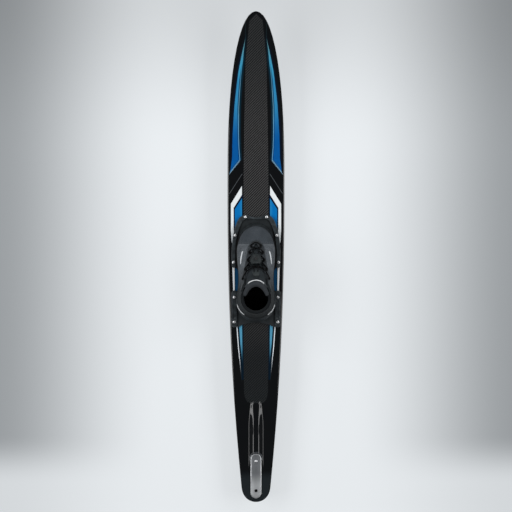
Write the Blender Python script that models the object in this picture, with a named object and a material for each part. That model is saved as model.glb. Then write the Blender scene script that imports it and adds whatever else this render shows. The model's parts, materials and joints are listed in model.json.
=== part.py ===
"""A slalom water ski with one laced boot clamped to its deck.

Frame, in metres: X runs across the ski, Y from tail to tip, and Z up out of the deck.
X = 0 is the centreline, Y = 0 is half the ski's length, Z = 0 is the fin's lowest edge.
"""

import math

import bmesh
import bpy
from mathutils import Matrix, Vector

# Fits
GAP = 0.0003  # between pieces that touch
RUNNING_CLEARANCE = 0.0004  # between pieces that slide

# Ski plan
LENGTH = 1.700
HALF_WIDTH = 0.099
NOSE_LENGTH = 0.560  # from the tip to full width
NOSE_FULLNESS = 2.35
NOSE_ROUNDNESS = 2.10
PARALLEL_LENGTH = 0.080  # full width, between nose and tail taper
TAIL_HALF_WIDTH = 0.045
TAIL_TAPER = 2.10
TAIL_ROUND_LENGTH = 0.050
TAIL_ROUNDNESS = 2.20

# Ski side view
MID_THICKNESS = 0.021
TIP_THICKNESS = 0.009
TAIL_THICKNESS = 0.011
TAIL_END_THICKNESS = 0.0085
FOREBODY_LENGTH = 0.620  # from the tip back to full thickness
AFTBODY_LENGTH = 0.560  # from the tail up to full thickness
TIP_RISE = 0.080
TIP_ROCKER_POWER = 2.2
TAIL_RISE = 0.007
TAIL_ROCKER_LENGTH = 0.350

# Ski section
LAMINATE = 0.0016
PARTING_SHARE = 0.45  # of the thickness, from the base up to the joint of the laminates
DECK_BEVEL_WIDTH = 0.0035
DECK_BEVEL_DROP = 0.0025
BASE_BEVEL_WIDTH = 0.012
BASE_BEVEL_RISE = 0.003
BEVEL_EASE_HALF_WIDTH = 0.030  # where the ski is narrower than this its bevels shrink
TUNNEL_DEPTH = 0.0025
TUNNEL_SHARE = 0.60  # of the half width
TUNNEL_EDGE_WIDTH = 0.010
CORE_TIP_INSET = 0.045
CORE_TAIL_INSET = 0.010

# Fin and its plate
FIN_TAIL_DISTANCE = 0.091  # from the tail to the middle of the fin's plate
FIN_Y = FIN_TAIL_DISTANCE - LENGTH / 2
FIN_PLATE_LENGTH = 0.156
FIN_PLATE_WIDTH = 0.0373
FIN_PLATE_THICKNESS = 0.0025
FIN_PLATE_BEVEL = 0.0007
FIN_PLATE_SEAT = 0.0006  # over the deck, which is slightly dished along the plate
FIN_BOLT_SPACING = 0.102
FIN_BOLT_RADIUS = 0.0029
FIN_BOLT_HEAD_RADIUS = 0.0052
FIN_BOLT_HEAD_HEIGHT = 0.0028
FIN_BLOCK_LENGTH = 0.150
FIN_BLOCK_WIDTH = 0.014
FIN_BLOCK_COVER = 0.0030  # ski left over the block
FIN_BLOCK_REACH = 0.008  # below the base
FIN_BLOCK_THREAD = 0.0065
FIN_BLADE_THICKNESS = 0.0026
FIN_BLADE_DEPTH = 0.064  # below the base
FIN_BLADE_SHOULDER = 0.0035  # below the base, where the blade is longer than its block
FIN_BLADE_FRONT = 0.085
FIN_BLADE_REAR = -0.080
FIN_BLADE_TIP_FRONT = 0.020
FIN_BLADE_HEEL_RADIUS = 0.018
SET_SCREW_RADIUS = 0.0020
SET_SCREW_SPACING = 0.045

# Raised spine that the deck carries in front of the fin plate
SPINE_FRONT_Y = FIN_Y + 0.261
SPINE_REAR_Y = FIN_Y + 0.017
SPINE_FULL_FRONT_Y = FIN_Y + 0.247
SPINE_FULL_REAR_Y = FIN_Y + 0.083
SPINE_HEIGHT = 0.0045
SPINE_TOP_HALF_WIDTH = 0.0093
SPINE_NOSE_HALF_WIDTH = 0.0148
SPINE_FOOT_HALF_WIDTH = 0.0250
SPINE_FOOT_FULL_Y = FIN_Y + 0.174
SPINE_ROOT = 0.0008
SPINE_LEAST = 0.0002

# Binding clamps
CLAMP_THICKNESS = 0.0050
CLAMP_BEVEL = 0.0012
CLAMP_LIP = 0.0015  # the clamp covers the flange's edge by this much
# The front frame's centre line, from the toe to the end of a leg: x, y, half width
FRAME_PATH = (
    (0.0000, 0.1390, 0.0040),
    (0.0180, 0.1398, 0.0046),
    (0.0372, 0.1428, 0.0074),
    (0.0515, 0.1350, 0.0078),
    (0.0605, 0.1185, 0.0076),
    (0.0670, 0.1000, 0.0074),
    (0.0722, 0.0790, 0.0072),
    (0.0765, 0.0480, 0.0070),
    (0.0785, 0.0150, 0.0070),
    (0.0778, -0.0150, 0.0070),
    (0.0772, -0.0270, 0.0068),
)
FRAME_SCREW_POINTS = (2, 6, 9)  # of that line
FRAME_STEP = 0.0105
RAIL_X = 0.0757
RAIL_HALF_WIDTH = 0.0100
RAIL_FRONT_Y = -0.1125
RAIL_REAR_Y = -0.2410
RAIL_SCREW_YS = (-0.1365, -0.2225)
RAIL_GROOVE_HALF_WIDTH = 0.0014
RAIL_GROOVE_DEPTH = 0.0014
RAIL_GROOVE_END = 0.012  # from each screw's axis

# Binding screws and their inserts
SCREW_HEAD_RADIUS = 0.0054
SCREW_HEAD_HEIGHT = 0.0032
SCREW_SOCKET_RADIUS = 0.0018
SCREW_SOCKET_DEPTH = 0.0016
SCREW_RADIUS = 0.0024
SCREW_HOLE_CLEARANCE = 0.0007
INSERT_RADIUS = 0.0048
INSERT_HEIGHT = 0.0100

# Sole flange
SOLE_THICKNESS = 0.0035
SOLE_WAIST_HALF_WIDTH = 0.0600
SOLE_HEEL_Y = -0.2240
SOLE_SCALLOP_HALF_WIDTH = 0.0600
RAND_THICKNESS = 0.0026
RAND_CLEARANCE = 0.0009  # round the upper, whose faces differ a little from the cup's
RAND_ROOT = 0.0017  # how far it reaches down into the sole

# Boot form, by height over the deck
BOOT_TOE_Y = ((0.000, 0.116), (0.012, 0.118), (0.025, 0.114), (0.035, 0.107), (0.045, 0.095),
              (0.056, 0.078), (0.066, 0.060), (0.078, 0.039), (0.092, 0.016), (0.108, -0.008),
              (0.126, -0.032), (0.146, -0.054), (0.166, -0.068), (0.190, -0.077))
BOOT_HEEL_Y = ((0.000, -0.216), (0.020, -0.220), (0.045, -0.219), (0.075, -0.211),
               (0.100, -0.200), (0.125, -0.192), (0.150, -0.188), (0.190, -0.188))
BOOT_HALF_WIDTH = ((0.000, 0.0610), (0.020, 0.0650), (0.035, 0.0665), (0.050, 0.0660),
                   (0.065, 0.0635), (0.085, 0.0595), (0.108, 0.0565), (0.130, 0.0545),
                   (0.190, 0.0535))
BOOT_TOE_ROUND = ((0.000, 0.093), (0.045, 0.093), (0.085, 0.082), (0.125, 0.072), (0.190, 0.060))
BOOT_HEEL_ROUND = ((0.000, 0.074), (0.060, 0.066), (0.110, 0.054), (0.190, 0.052))
# How much of that width the foot takes along the ski: heel, waist and ball
BOOT_PLAN_SHARE = ((-0.220, 0.94), (-0.150, 0.955), (-0.070, 0.90), (0.000, 0.985), (0.030, 1.0))
BOOT_WALL = 0.0040
SHELL_TOP = 0.158
VAMP_SEAM_Y = 0.050
HEEL_SEAM_LOW_Y = -0.128
HEEL_SEAM_SLOPE = 0.42  # forward per metre of height
RAND_HEIGHT = ((-0.220, 0.088), (-0.207, 0.081), (-0.186, 0.063), (-0.168, 0.051),
               (-0.150, 0.041), (-0.105, 0.022), (-0.050, 0.016), (0.060, 0.018),
               (0.100, 0.028), (0.118, 0.031))
FOOTBED_THICKNESS = 0.0065
FOOTBED_CLEARANCE = 0.0012

# Throat of the boot and its lacing bands, by height over the deck
THROAT_HALF_WIDTH = ((0.071, 0.000), (0.075, 0.0090), (0.084, 0.0145), (0.092, 0.0175),
                     (0.108, 0.0225), (0.120, 0.0300), (0.135, 0.0360), (0.160, 0.0410))
EYESTAY_HALF_WIDTH = ((0.066, 0.0030), (0.070, 0.0165), (0.075, 0.0225), (0.084, 0.0275),
                      (0.092, 0.0300), (0.108, 0.0350), (0.120, 0.0430), (0.135, 0.0485),
                      (0.160, 0.0495))
EYESTAY_LIFT = 0.0006
EYESTAY_THICKNESS = 0.0022
EYESTAY_TOP = 0.153
LOOP_HEIGHTS = (0.0752, 0.0870, 0.1015, 0.1165, 0.1315)
LOOP_HALF_LENGTH = 0.0029
LOOP_BORE_CLEARANCE = 0.0007
LOOP_WALL = 0.0012
LOOP_ROOT = 0.0012

# Tongue, padding and piping
TONGUE_HALF_WIDTH = ((0.050, 0.018), (0.090, 0.036), (0.178, 0.040))
TONGUE_THICKNESS = 0.0045
TONGUE_CLEARANCE = 0.0010
TONGUE_BOTTOM = 0.052
TONGUE_TOP = 0.178
TONGUE_PAD_HALF_DEPTH = 0.0110
TONGUE_PAD_HALF_HEIGHT = 0.0080
TONGUE_PAD_END_SHARE = 0.60
TONGUE_PAD_END = 0.352  # along a quarter of the rim, toe to heel
COLLAR_RADIUS = 0.0066
COLLAR_INSET = 0.0045
COLLAR_START = 0.34
PIPING_RADIUS = 0.0012
HEEL_PIPING_START = 0.58
HEEL_PIPING_END = 0.82
HEEL_PIPING_RISE = 0.0024  # over the heel cup's edge, which slopes
HEEL_PIPING_OUT = 0.0003

# Lace, lace lock and pull tab
LACE_RADIUS = 0.0018
LACE_STEP = 0.0115
LACE_BEND = math.radians(34)
LACE_TURN_LIFT = 0.0010  # over its height in the loops, where a lace turns
LACE_EDGE_CLEARANCE = 0.0017
LACE_TURN = 0.0034  # along and across, from a loop's mouth
LACE_OVER_LACE = 2 * LACE_RADIUS + 2 * GAP
TONGUE_REST_LIFT = -0.0025  # of a lace's centre where it rests on the tongue
TOE_CROSSING_LIFT = -0.0010
# From a loop's middle to where its lace has turned across, by the boot's slope there
TOE_LOOP_RISE = 0.0036
ANKLE_LOOP_RISE = 0.0043
TOE_BAR = (0.0710, 0.0052)  # height and lift of the lace's lowest bar
# The lace from the lock's toe end to the second loop: x, y, lift
LACE_FEED = ((0.0085, 0.0172, 0.0112), (0.0130, 0.0160, 0.0096))
STRAND_X = 0.0065
STRAND_TOE_Y = 0.0125
STRAND_TOE_LIFT = 0.0126
STRAND_TAB_Y = -0.0470
STRAND_TAB_LIFT = 0.0135
LOCK_Y = -0.0050
# Half of the lock's outline, from its toe end to its ankle end: x, y along the strands
LOCK_OUTLINE = ((0.0108, 0.0210), (0.0160, 0.0110), (0.0190, 0.0000), (0.0180, -0.0090),
                (0.0125, -0.0200))
LOCK_BASE_THICKNESS = 0.0012
LOCK_SPRING_LENGTH = 0.0032
LOCK_SPRING_RADIUS = 0.0024
LOCK_SPRING_WIRE = 0.00035
LOCK_SPRING_TURNS = 4
LOCK_ROOF = 0.0012
LOCK_CAP_DEPTH = 0.0026
LOCK_CAP_RADIUS = 0.0058
LOCK_CAP_PROUD = 0.0010
LOCK_STEM_RADIUS = 0.0031
LOCK_EAR_THICKNESS = 0.0012
LOCK_EAR_HALF_LENGTH = 0.0024
LOCK_EAR_REACH = 0.0084
LOCK_BEVEL = 0.0012
TAB_HALF_WIDTH = 0.0115
TAB_LENGTH = 0.0225
TAB_FRONT = 0.0045
TAB_THICKNESS = 0.0070
TAB_BEVEL = 0.0010
TAB_PIN_RADIUS = 0.0012
TAB_PIN_HALF_LENGTH = 0.0100
TAB_COLLAR_RADIUS = LACE_RADIUS

# Room past the boot for what cuts it, and the short steps that its slopes are taken over
CUT_ROOM = 0.050
CUT_TOP_ROOM = 0.020
CUT_FLOOR_ROOM = 0.010
THROAT_CUT_DEPTH = 0.030
THROAT_CUT_REACH = 0.012
CUT_REACH = 0.500
SLOPE_STEP = 0.001
LOOP_SLOPE_STEP = 0.004
RAND_VALUE_HEIGHT = 0.020  # where the rand's height along the boot is read

# Fineness of the faceted solids
SKI_STATIONS = 33
RING_POINTS = 32
SHELL_LEVELS = (0.015, 0.026, 0.036, 0.046, 0.056, 0.066, 0.078, 0.092, 0.108, 0.124, 0.141)
LINING_LEVELS = (0.118, 0.088, 0.062, 0.044, 0.028)
ROUND_STEPS = 10


def smooth(points):
    """A curve through (input, value) pairs that never overshoots between two of them."""
    xs = [point[0] for point in points]
    ys = [point[1] for point in points]
    rises = [(ys[i + 1] - ys[i]) / (xs[i + 1] - xs[i]) for i in range(len(xs) - 1)]
    slopes = [rises[0]]
    for before, after in zip(rises, rises[1:]):
        slopes.append(2 * before * after / (before + after) if before * after > 0 else 0.0)
    slopes.append(rises[-1])

    def value(x):
        x = min(max(x, xs[0]), xs[-1])
        i = max(0, min(len(xs) - 2, sum(x >= edge for edge in xs) - 1))
        span = xs[i + 1] - xs[i]
        t = (x - xs[i]) / span
        return (
            (1 + 2 * t) * (1 - t) ** 2 * ys[i]
            + t * (1 - t) ** 2 * span * slopes[i]
            + t * t * (3 - 2 * t) * ys[i + 1]
            + t * t * (t - 1) * span * slopes[i + 1]
        )

    return value


def spline(points, step, bend=math.pi):
    """Points along a smooth curve through the given ones: a step or a bend apart."""
    points = [Vector(point) for point in points]
    padded = [2 * points[0] - points[1], *points, 2 * points[-1] - points[-2]]
    dense = []
    for before, start, end, after in zip(padded, padded[1:], padded[2:], padded[3:]):
        reach = (end - start).length
        into = (end - before).normalized() * reach
        out = (after - start).normalized() * reach
        for k in range(12):
            t = k / 12
            dense.append(
                (1 + 2 * t) * (1 - t) ** 2 * start
                + t * (1 - t) ** 2 * into
                + t * t * (3 - 2 * t) * end
                + t * t * (t - 1) * out
            )
    dense.append(points[-1])
    run = [0.0]
    heading = dense[1] - dense[0]
    for a, b in zip(dense, dense[1:]):
        run.append(run[-1] + (b - a).length / step + heading.angle(b - a) / bend)
        heading = b - a
    count = max(1, round(run[-1]))
    found = []
    i = 0
    for k in range(count + 1):
        target = run[-1] * k / count
        while i < len(run) - 2 and run[i + 1] < target:
            i += 1
        t = (target - run[i]) / (run[i + 1] - run[i])
        found.append(dense[i].lerp(dense[i + 1], t))
    return found


def material(name, colour, roughness, metallic=0.0):
    made = bpy.data.materials.new(name)
    made.use_nodes = True
    shader = made.node_tree.nodes["Principled BSDF"]
    shader.inputs["Base Color"].default_value = (*colour, 1.0)
    shader.inputs["Roughness"].default_value = roughness
    shader.inputs["Metallic"].default_value = metallic
    return made


def empty(name, matrix, parent=None):
    made = bpy.data.objects.new(name, None)
    made.matrix_local = matrix
    made.parent = parent
    bpy.context.scene.collection.objects.link(made)
    return made


def place(name, bm, finish, parent, smooth_angle=35):
    """Turns a bmesh into an object with its faces pointing out."""
    bmesh.ops.recalc_face_normals(bm, faces=bm.faces)
    mesh = bpy.data.meshes.new(name)
    bm.to_mesh(mesh)
    bm.free()
    mesh.shade_smooth()
    mesh.set_sharp_from_angle(angle=math.radians(smooth_angle))
    made = bpy.data.objects.new(name, mesh)
    made.parent = parent
    if finish:
        mesh.materials.append(finish)
    bpy.context.scene.collection.objects.link(made)
    return made


def cutter(name, bm, parent):
    made = place(name, bm, None, parent)
    made.hide_render = True
    made.display_type = "WIRE"
    return made


def combine(target, other, operation="DIFFERENCE"):
    modifier = target.modifiers.new(other.name, "BOOLEAN")
    modifier.operation = operation
    modifier.object = other
    modifier.solver = "EXACT"


def add_loft(bm, rings, loop=False):
    """Skins rings of equally many points: closed by end faces, or into a loop."""
    rows = [[bm.verts.new(point) for point in ring] for ring in rings]
    count = len(rows[0])
    following = rows[1:] + (rows[:1] if loop else [])
    for row, after in zip(rows, following):
        for i in range(count):
            j = (i + 1) % count
            bm.faces.new((row[i], row[j], after[j], after[i]))
    if not loop:
        bm.faces.new(rows[0])
        bm.faces.new(rows[-1])


def loft(rings, loop=False):
    bm = bmesh.new()
    add_loft(bm, rings, loop)
    return bm


def slab(outer, inner):
    """A curved sheet between two grids of the same shape."""
    rings = []
    for over, under in zip(outer, inner):
        rings.append([*over, *reversed(under)])
    return loft(rings)


def circle(radius, count, z=0.0, centre=(0.0, 0.0)):
    turn = 2 * math.pi / count
    return [
        Vector((centre[0] + radius * math.cos(i * turn), centre[1] + radius * math.sin(i * turn), z))
        for i in range(count)
    ]


def add_turned(bm, profile, centre=(0.0, 0.0), steps=ROUND_STEPS):
    """A turned solid about Z from (radius, z) pairs."""
    add_loft(bm, [circle(radius, steps, z, centre) for radius, z in profile])


def add_box(bm, low, high):
    corners = ((low[0], low[1]), (high[0], low[1]), (high[0], high[1]), (low[0], high[1]))
    add_loft(bm, [[Vector((x, y, z)) for x, y in corners] for z in (low[2], high[2])])


def stadium(half_length, radius, z, steps=8):
    """An outline along Y with half round ends."""
    points = []
    for sign in (1, -1):
        for i in range(steps + 1):
            angle = math.pi * i / steps
            x = sign * radius * math.cos(angle)
            y = sign * (half_length - radius + radius * math.sin(angle))
            points.append(Vector((x, y, z)))
    return points


def mirrored(half):
    """A section's right half, edge to centre, followed by its left half."""
    return [*half, *((-x, z) for x, z in reversed(half))]


# The ski's form, by distance from the tip


def half_width(s):
    if s < NOSE_LENGTH:
        behind = 1 - s / NOSE_LENGTH
        return HALF_WIDTH * (1 - behind**NOSE_FULLNESS) ** (1 / NOSE_ROUNDNESS)
    taper_start = NOSE_LENGTH + PARALLEL_LENGTH
    taper = max(0.0, s - taper_start) / (LENGTH - taper_start)
    width = HALF_WIDTH - (HALF_WIDTH - TAIL_HALF_WIDTH) * taper**TAIL_TAPER
    into_end = max(0.0, s - LENGTH + TAIL_ROUND_LENGTH) / TAIL_ROUND_LENGTH
    return width * (1 - into_end**TAIL_ROUNDNESS) ** (1 / TAIL_ROUNDNESS)


def rocker(s):
    """Height of the base over the running plane."""
    nose = max(0.0, 1 - s / FOREBODY_LENGTH)
    tail = max(0.0, s - LENGTH + TAIL_ROCKER_LENGTH) / TAIL_ROCKER_LENGTH
    return TIP_RISE * nose**TIP_ROCKER_POWER + TAIL_RISE * tail**2


thickness = smooth((
    (0.0, TIP_THICKNESS),
    (FOREBODY_LENGTH, MID_THICKNESS),
    (LENGTH - AFTBODY_LENGTH, MID_THICKNESS),
    (LENGTH / 2 - FIN_Y - FIN_PLATE_LENGTH / 2, TAIL_THICKNESS),
    (LENGTH / 2 - FIN_Y + FIN_PLATE_LENGTH / 2, TAIL_THICKNESS),
    (LENGTH, TAIL_END_THICKNESS),
))


def deck_height(y):
    s = LENGTH / 2 - y
    return rocker(s) + thickness(s)


class Section:
    """The ski cut across at one distance from the tip."""

    def __init__(self, s):
        self.y = LENGTH / 2 - s
        self.half = half_width(s)
        self.base = rocker(s)
        thick = thickness(s)
        self.top = self.base + thick
        self.parting = self.base + PARTING_SHARE * thick
        across = min(1.0, self.half / BEVEL_EASE_HALF_WIDTH)
        along = thick / MID_THICKNESS
        self.deck_bevel = DECK_BEVEL_WIDTH * across
        self.drop = DECK_BEVEL_DROP * along
        self.base_bevel = BASE_BEVEL_WIDTH * across
        self.rise = BASE_BEVEL_RISE * along
        self.tunnel_half = TUNNEL_SHARE * self.half
        self.tunnel_edge = TUNNEL_EDGE_WIDTH * across
        fade_in = min(1.0, s / FOREBODY_LENGTH)
        fade_out = min(1.0, (LENGTH - s) / (LENGTH / 2 + FIN_Y + FIN_PLATE_LENGTH))
        self.tunnel = TUNNEL_DEPTH * fade_in * fade_out
        self.hollow = CORE_TIP_INSET < s < LENGTH - CORE_TAIL_INSET

    def ring(self, outline):
        return [Vector((x, self.y, z)) for x, z in outline]

    def deck(self):
        low = self.parting + GAP / 2
        outer = mirrored((
            (self.half, low),
            (self.half, self.top - self.drop),
            (self.half - 0.4 * self.deck_bevel, self.top - 0.3 * self.drop),
            (self.half - self.deck_bevel, self.top),
        ))
        depth = self.top - LAMINATE if self.hollow else low
        shoulder = max(low, depth - self.drop) if self.hollow else low
        wall = min(LAMINATE, 0.4 * self.half)
        inner = mirrored((
            (self.half - wall, low),
            (self.half - 1.2 * wall, shoulder),
            (self.half - 1.2 * wall - self.deck_bevel, depth),
        ))
        return self.ring([*outer, *reversed(inner)])

    def base_laminate(self):
        low = self.parting - GAP / 2
        outer = mirrored((
            (self.half, low),
            (self.half, self.base + self.rise),
            (self.half - self.base_bevel, self.base),
            (self.tunnel_half, self.base),
            (self.tunnel_half - self.tunnel_edge, self.base + self.tunnel),
        ))
        floor = self.base + self.tunnel + LAMINATE if self.hollow else low
        wall = min(LAMINATE, 0.4 * self.half)
        inner = mirrored(((self.half - wall, low), (self.half - wall - 0.5 * self.base_bevel, floor)))
        return self.ring([*outer, *reversed(inner)])

    def core(self):
        side = self.half - LAMINATE - GAP
        top = self.top - LAMINATE - GAP
        bottom = self.base + self.tunnel + LAMINATE + GAP
        upper = mirrored((
            (side, self.parting),
            (side - 0.3 * LAMINATE, top - self.drop),
            (side - 0.3 * LAMINATE - self.deck_bevel, top),
        ))
        lower = side - 0.6 * self.base_bevel
        return self.ring([*upper, (-lower, bottom), (lower, bottom)])


def stations():
    """Distances from the tip, close together at the round ends."""
    least = 0.0002
    nose = [least + (NOSE_LENGTH - least) * (1 - math.cos(i * math.pi / 28)) for i in range(14)]
    tail_start = LENGTH - TAIL_ROUND_LENGTH
    middle_count = SKI_STATIONS - 22
    middle = [
        NOSE_LENGTH + (tail_start - NOSE_LENGTH) * i / middle_count for i in range(middle_count)
    ]
    tail = [
        tail_start + (TAIL_ROUND_LENGTH - least) * math.sin(i * math.pi / 14) for i in range(8)
    ]
    core_ends = [
        CORE_TIP_INSET - least,
        CORE_TIP_INSET + least,
        LENGTH - CORE_TAIL_INSET - least,
        LENGTH - CORE_TAIL_INSET + least,
    ]
    return sorted([*nose, *middle, *tail, *core_ends])


# The boot's form, by height over the deck and by a rim value: 0 at the toe, 1 or -1 at the heel

TOE_SHARE = 0.40
HEEL_SHARE = 0.62
toe_y = smooth(BOOT_TOE_Y)
heel_y = smooth(BOOT_HEEL_Y)
boot_half_width = smooth(BOOT_HALF_WIDTH)
toe_round = smooth(BOOT_TOE_ROUND)
heel_round = smooth(BOOT_HEEL_ROUND)
plan_share = smooth(BOOT_PLAN_SHARE)
rand_height = smooth(RAND_HEIGHT)
throat_half_width = smooth(THROAT_HALF_WIDTH)
eyestay_half_width = smooth(EYESTAY_HALF_WIDTH)
tongue_half_width = smooth(TONGUE_HALF_WIDTH)


def boot_ring(z, v):
    """A point of the boot's outer form."""
    side = -1 if v < 0 else 1
    v = abs(v)
    if v > 1:
        side, v = -side, 2 - v
    wide = boot_half_width(z)
    toe_centre = toe_y(z) - toe_round(z)
    heel_centre = heel_y(z) + heel_round(z)
    if v < TOE_SHARE:
        angle = v / TOE_SHARE * math.pi / 2
        x = wide * math.sin(angle)
        y = toe_centre + toe_round(z) * math.cos(angle)
    elif v < HEEL_SHARE:
        along = (v - TOE_SHARE) / (HEEL_SHARE - TOE_SHARE)
        x = wide
        y = toe_centre + (heel_centre - toe_centre) * along
    else:
        angle = (v - HEEL_SHARE) / (1 - HEEL_SHARE) * math.pi / 2
        x = wide * math.cos(angle)
        y = heel_centre - heel_round(z) * math.sin(angle)
    return Vector((side * x * plan_share(y), y, z))


def boot_normal(z, v):
    up = boot_ring(z + SLOPE_STEP, v) - boot_ring(z - SLOPE_STEP, v)
    across = boot_ring(z, v + 0.004) - boot_ring(z, v - 0.004)
    normal = up.cross(across).normalized()
    centre = Vector((0.0, (toe_y(z) + heel_y(z)) / 2, z))
    return normal if normal.dot(boot_ring(z, v) - centre) > 0 else -normal


def boot_point(z, v, out=0.0, level=False):
    """A point at this distance outside the boot's form, or at the same height if level."""
    normal = boot_normal(z, v)
    if level:
        normal = Vector((normal.x, normal.y, 0.0)).normalized()
    return boot_ring(z, v) + normal * out


def rim(z, out=0.0, level=False, count=RING_POINTS):
    return [boot_point(z, -1 + 2 * i / count, out, level) for i in range(count)]


def rim_value(z, x):
    """The rim value at which the toe's round reaches this distance from the centreline."""
    low, high = 0.0, TOE_SHARE
    for _ in range(24):
        middle = (low + high) / 2
        if boot_ring(z, middle).x < x:
            low = middle
        else:
            high = middle
    return low


def front_height(x, y):
    """Height of the boot's front over this point of the plan."""
    low, high = BOOT_TOE_Y[2][0], BOOT_TOE_Y[-1][0]
    for _ in range(24):
        middle = (low + high) / 2
        if boot_ring(middle, rim_value(middle, abs(x))).y > y:
            low = middle
        else:
            high = middle
    return low


def over_front(x, y, lift):
    """A point at this distance over the boot's front."""
    z = front_height(x, y)
    v = math.copysign(rim_value(z, abs(x)), x)
    return boot_point(z, v, lift)


# Clamps and screws


def band(path, half_widths, low, high, bevel):
    """A bevelled strip along a plan line, with half round ends."""
    stops = []
    last = len(path) - 1
    for i, (point, half) in enumerate(zip(path, half_widths)):
        ahead = (path[min(i + 1, last)] - path[max(i - 1, 0)]).normalized()
        if i == 0:
            for angle in (80, 55, 28):
                turn = math.radians(angle)
                stops.append((point - ahead * half * math.sin(turn), ahead, half * math.cos(turn)))
        stops.append((point, ahead, half))
        if i == last:
            for angle in (28, 55, 80):
                turn = math.radians(angle)
                stops.append((point + ahead * half * math.sin(turn), ahead, half * math.cos(turn)))
    rings = []
    for point, ahead, half in stops:
        side = Vector((-ahead.y, ahead.x))
        inset = min(bevel, 0.4 * half)
        profile = (
            (-half, low),
            (-half, high - inset),
            (-half + inset, high),
            (half - inset, high),
            (half, high - inset),
            (half, low),
        )
        rings.append([Vector((*(point + side * u), z)) for u, z in profile])
    return loft(rings)


def frame_line():
    """The front frame's centre line and half widths, from leg to leg."""
    left = [(-x, y, half) for x, y, half in reversed(FRAME_PATH)]
    return spline([*left, *FRAME_PATH[1:]], FRAME_STEP)


def screw_places():
    """Name and plan position of each binding screw."""
    found = []
    for side, word in ((-1, "left"), (1, "right")):
        for point, place_word in zip(FRAME_SCREW_POINTS, ("toe", "side", "leg")):
            x, y, _ = FRAME_PATH[point]
            found.append((f"{place_word}_{word}", side * x, y))
        for y, place_word in zip(RAIL_SCREW_YS, ("rail_front", "rail_rear")):
            found.append((f"{place_word}_{word}", side * RAIL_X, y))
    return found


def add_clamp_holes(bm, low, high, radius, places=None):
    for _, x, y in places or screw_places():
        add_turned(bm, ((radius, low), (radius, high)), (x, y))


def screw_head(radius, height, seat):
    """Profile of a domed head with a socket, top to seat."""
    return (
        (SCREW_SOCKET_RADIUS, seat + height - SCREW_SOCKET_DEPTH),
        (SCREW_SOCKET_RADIUS * 1.08, seat + height),
        (0.60 * radius, seat + 0.94 * height),
        (0.90 * radius, seat + 0.62 * height),
        (radius, seat + 0.15 * height),
        (radius * 0.98, seat),
    )


# Solids


def build_blank(root, binding, fin):
    gloss = material("deck_gloss", (0.02, 0.02, 0.022), 0.18)
    cuts = [Section(s) for s in stations()]
    deck = place("deck_shell", loft([cut.deck() for cut in cuts]), gloss, root)
    base = place("base_shell", loft([cut.base_laminate() for cut in cuts]), gloss, root)
    foam = material("foam", (0.72, 0.66, 0.45), 0.9)
    core_cuts = [Section(s) for s in stations() if CORE_TIP_INSET < s < LENGTH - CORE_TAIL_INSET]
    ends = (CORE_TIP_INSET + LAMINATE, LENGTH - CORE_TAIL_INSET - LAMINATE)
    inner_cuts = [Section(ends[0]), *core_cuts[1:-1], Section(ends[1])]
    core = place("foam_core", loft([cut.core() for cut in inner_cuts]), foam, root)

    combine(deck, cutter("spine_form", build_spine(), root), "UNION")
    pocket = loft([
        stadium(FIN_PLATE_LENGTH / 2 + GAP, FIN_PLATE_WIDTH / 2 + GAP, z)
        for z in (FIN_PLATE_SEAT - GAP, SPINE_HEIGHT + LAMINATE)
    ])
    combine(deck, cutter("plate_pocket", pocket, fin))
    screw_holes = bmesh.new()
    add_clamp_holes(screw_holes, -LAMINATE - GAP / 2, GAP, SCREW_RADIUS + SCREW_HOLE_CLEARANCE)
    combine(deck, cutter("deck_screw_holes", screw_holes, binding))
    insert_holes = bmesh.new()
    bottom = -LAMINATE - GAP - INSERT_HEIGHT - GAP
    add_clamp_holes(insert_holes, bottom, GAP, INSERT_RADIUS + GAP)
    combine(core, cutter("insert_holes", insert_holes, binding))
    bolt_holes = bmesh.new()
    for sign in (1, -1):
        centre = (0.0, sign * FIN_BOLT_SPACING / 2)
        add_turned(bolt_holes, ((FIN_BOLT_RADIUS + GAP, -0.006), (FIN_BOLT_RADIUS + GAP, 0.004)),
                   centre)
    combine(deck, cutter("deck_bolt_holes", bolt_holes, fin))
    block_hole = bmesh.new()
    wide = FIN_BLOCK_WIDTH / 2 + GAP
    long = FIN_BLOCK_LENGTH / 2 + GAP
    add_box(block_hole, (-wide, -long, -TAIL_THICKNESS * 2), (wide, long, -LAMINATE - GAP / 2))
    hole = cutter("block_hole", block_hole, fin)
    combine(base, hole)
    combine(core, hole)


def build_spine():
    """The raised form moulded into the deck ahead of the fin plate."""
    half = smooth((
        (SPINE_REAR_Y, SPINE_FOOT_HALF_WIDTH),
        (SPINE_FOOT_FULL_Y, SPINE_FOOT_HALF_WIDTH),
        (SPINE_FRONT_Y, SPINE_NOSE_HALF_WIDTH),
    ))
    height = smooth((
        (SPINE_REAR_Y, SPINE_LEAST),
        (SPINE_FULL_REAR_Y, SPINE_HEIGHT),
        (SPINE_FULL_FRONT_Y, SPINE_HEIGHT),
        (SPINE_FRONT_Y, SPINE_LEAST),
    ))
    rings = []
    steps = 16
    for i in range(steps + 1):
        y = SPINE_FRONT_Y + (SPINE_REAR_Y - SPINE_FRONT_Y) * (i / steps) ** 1.3
        deck = deck_height(y)
        foot = half(y)
        outline = mirrored((
            (foot, deck - SPINE_ROOT),
            (foot, deck + SPINE_LEAST / 2),
            (SPINE_TOP_HALF_WIDTH, deck + height(y)),
        ))
        rings.append([Vector((x, y, z)) for x, z in outline])
    return loft(rings)


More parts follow.
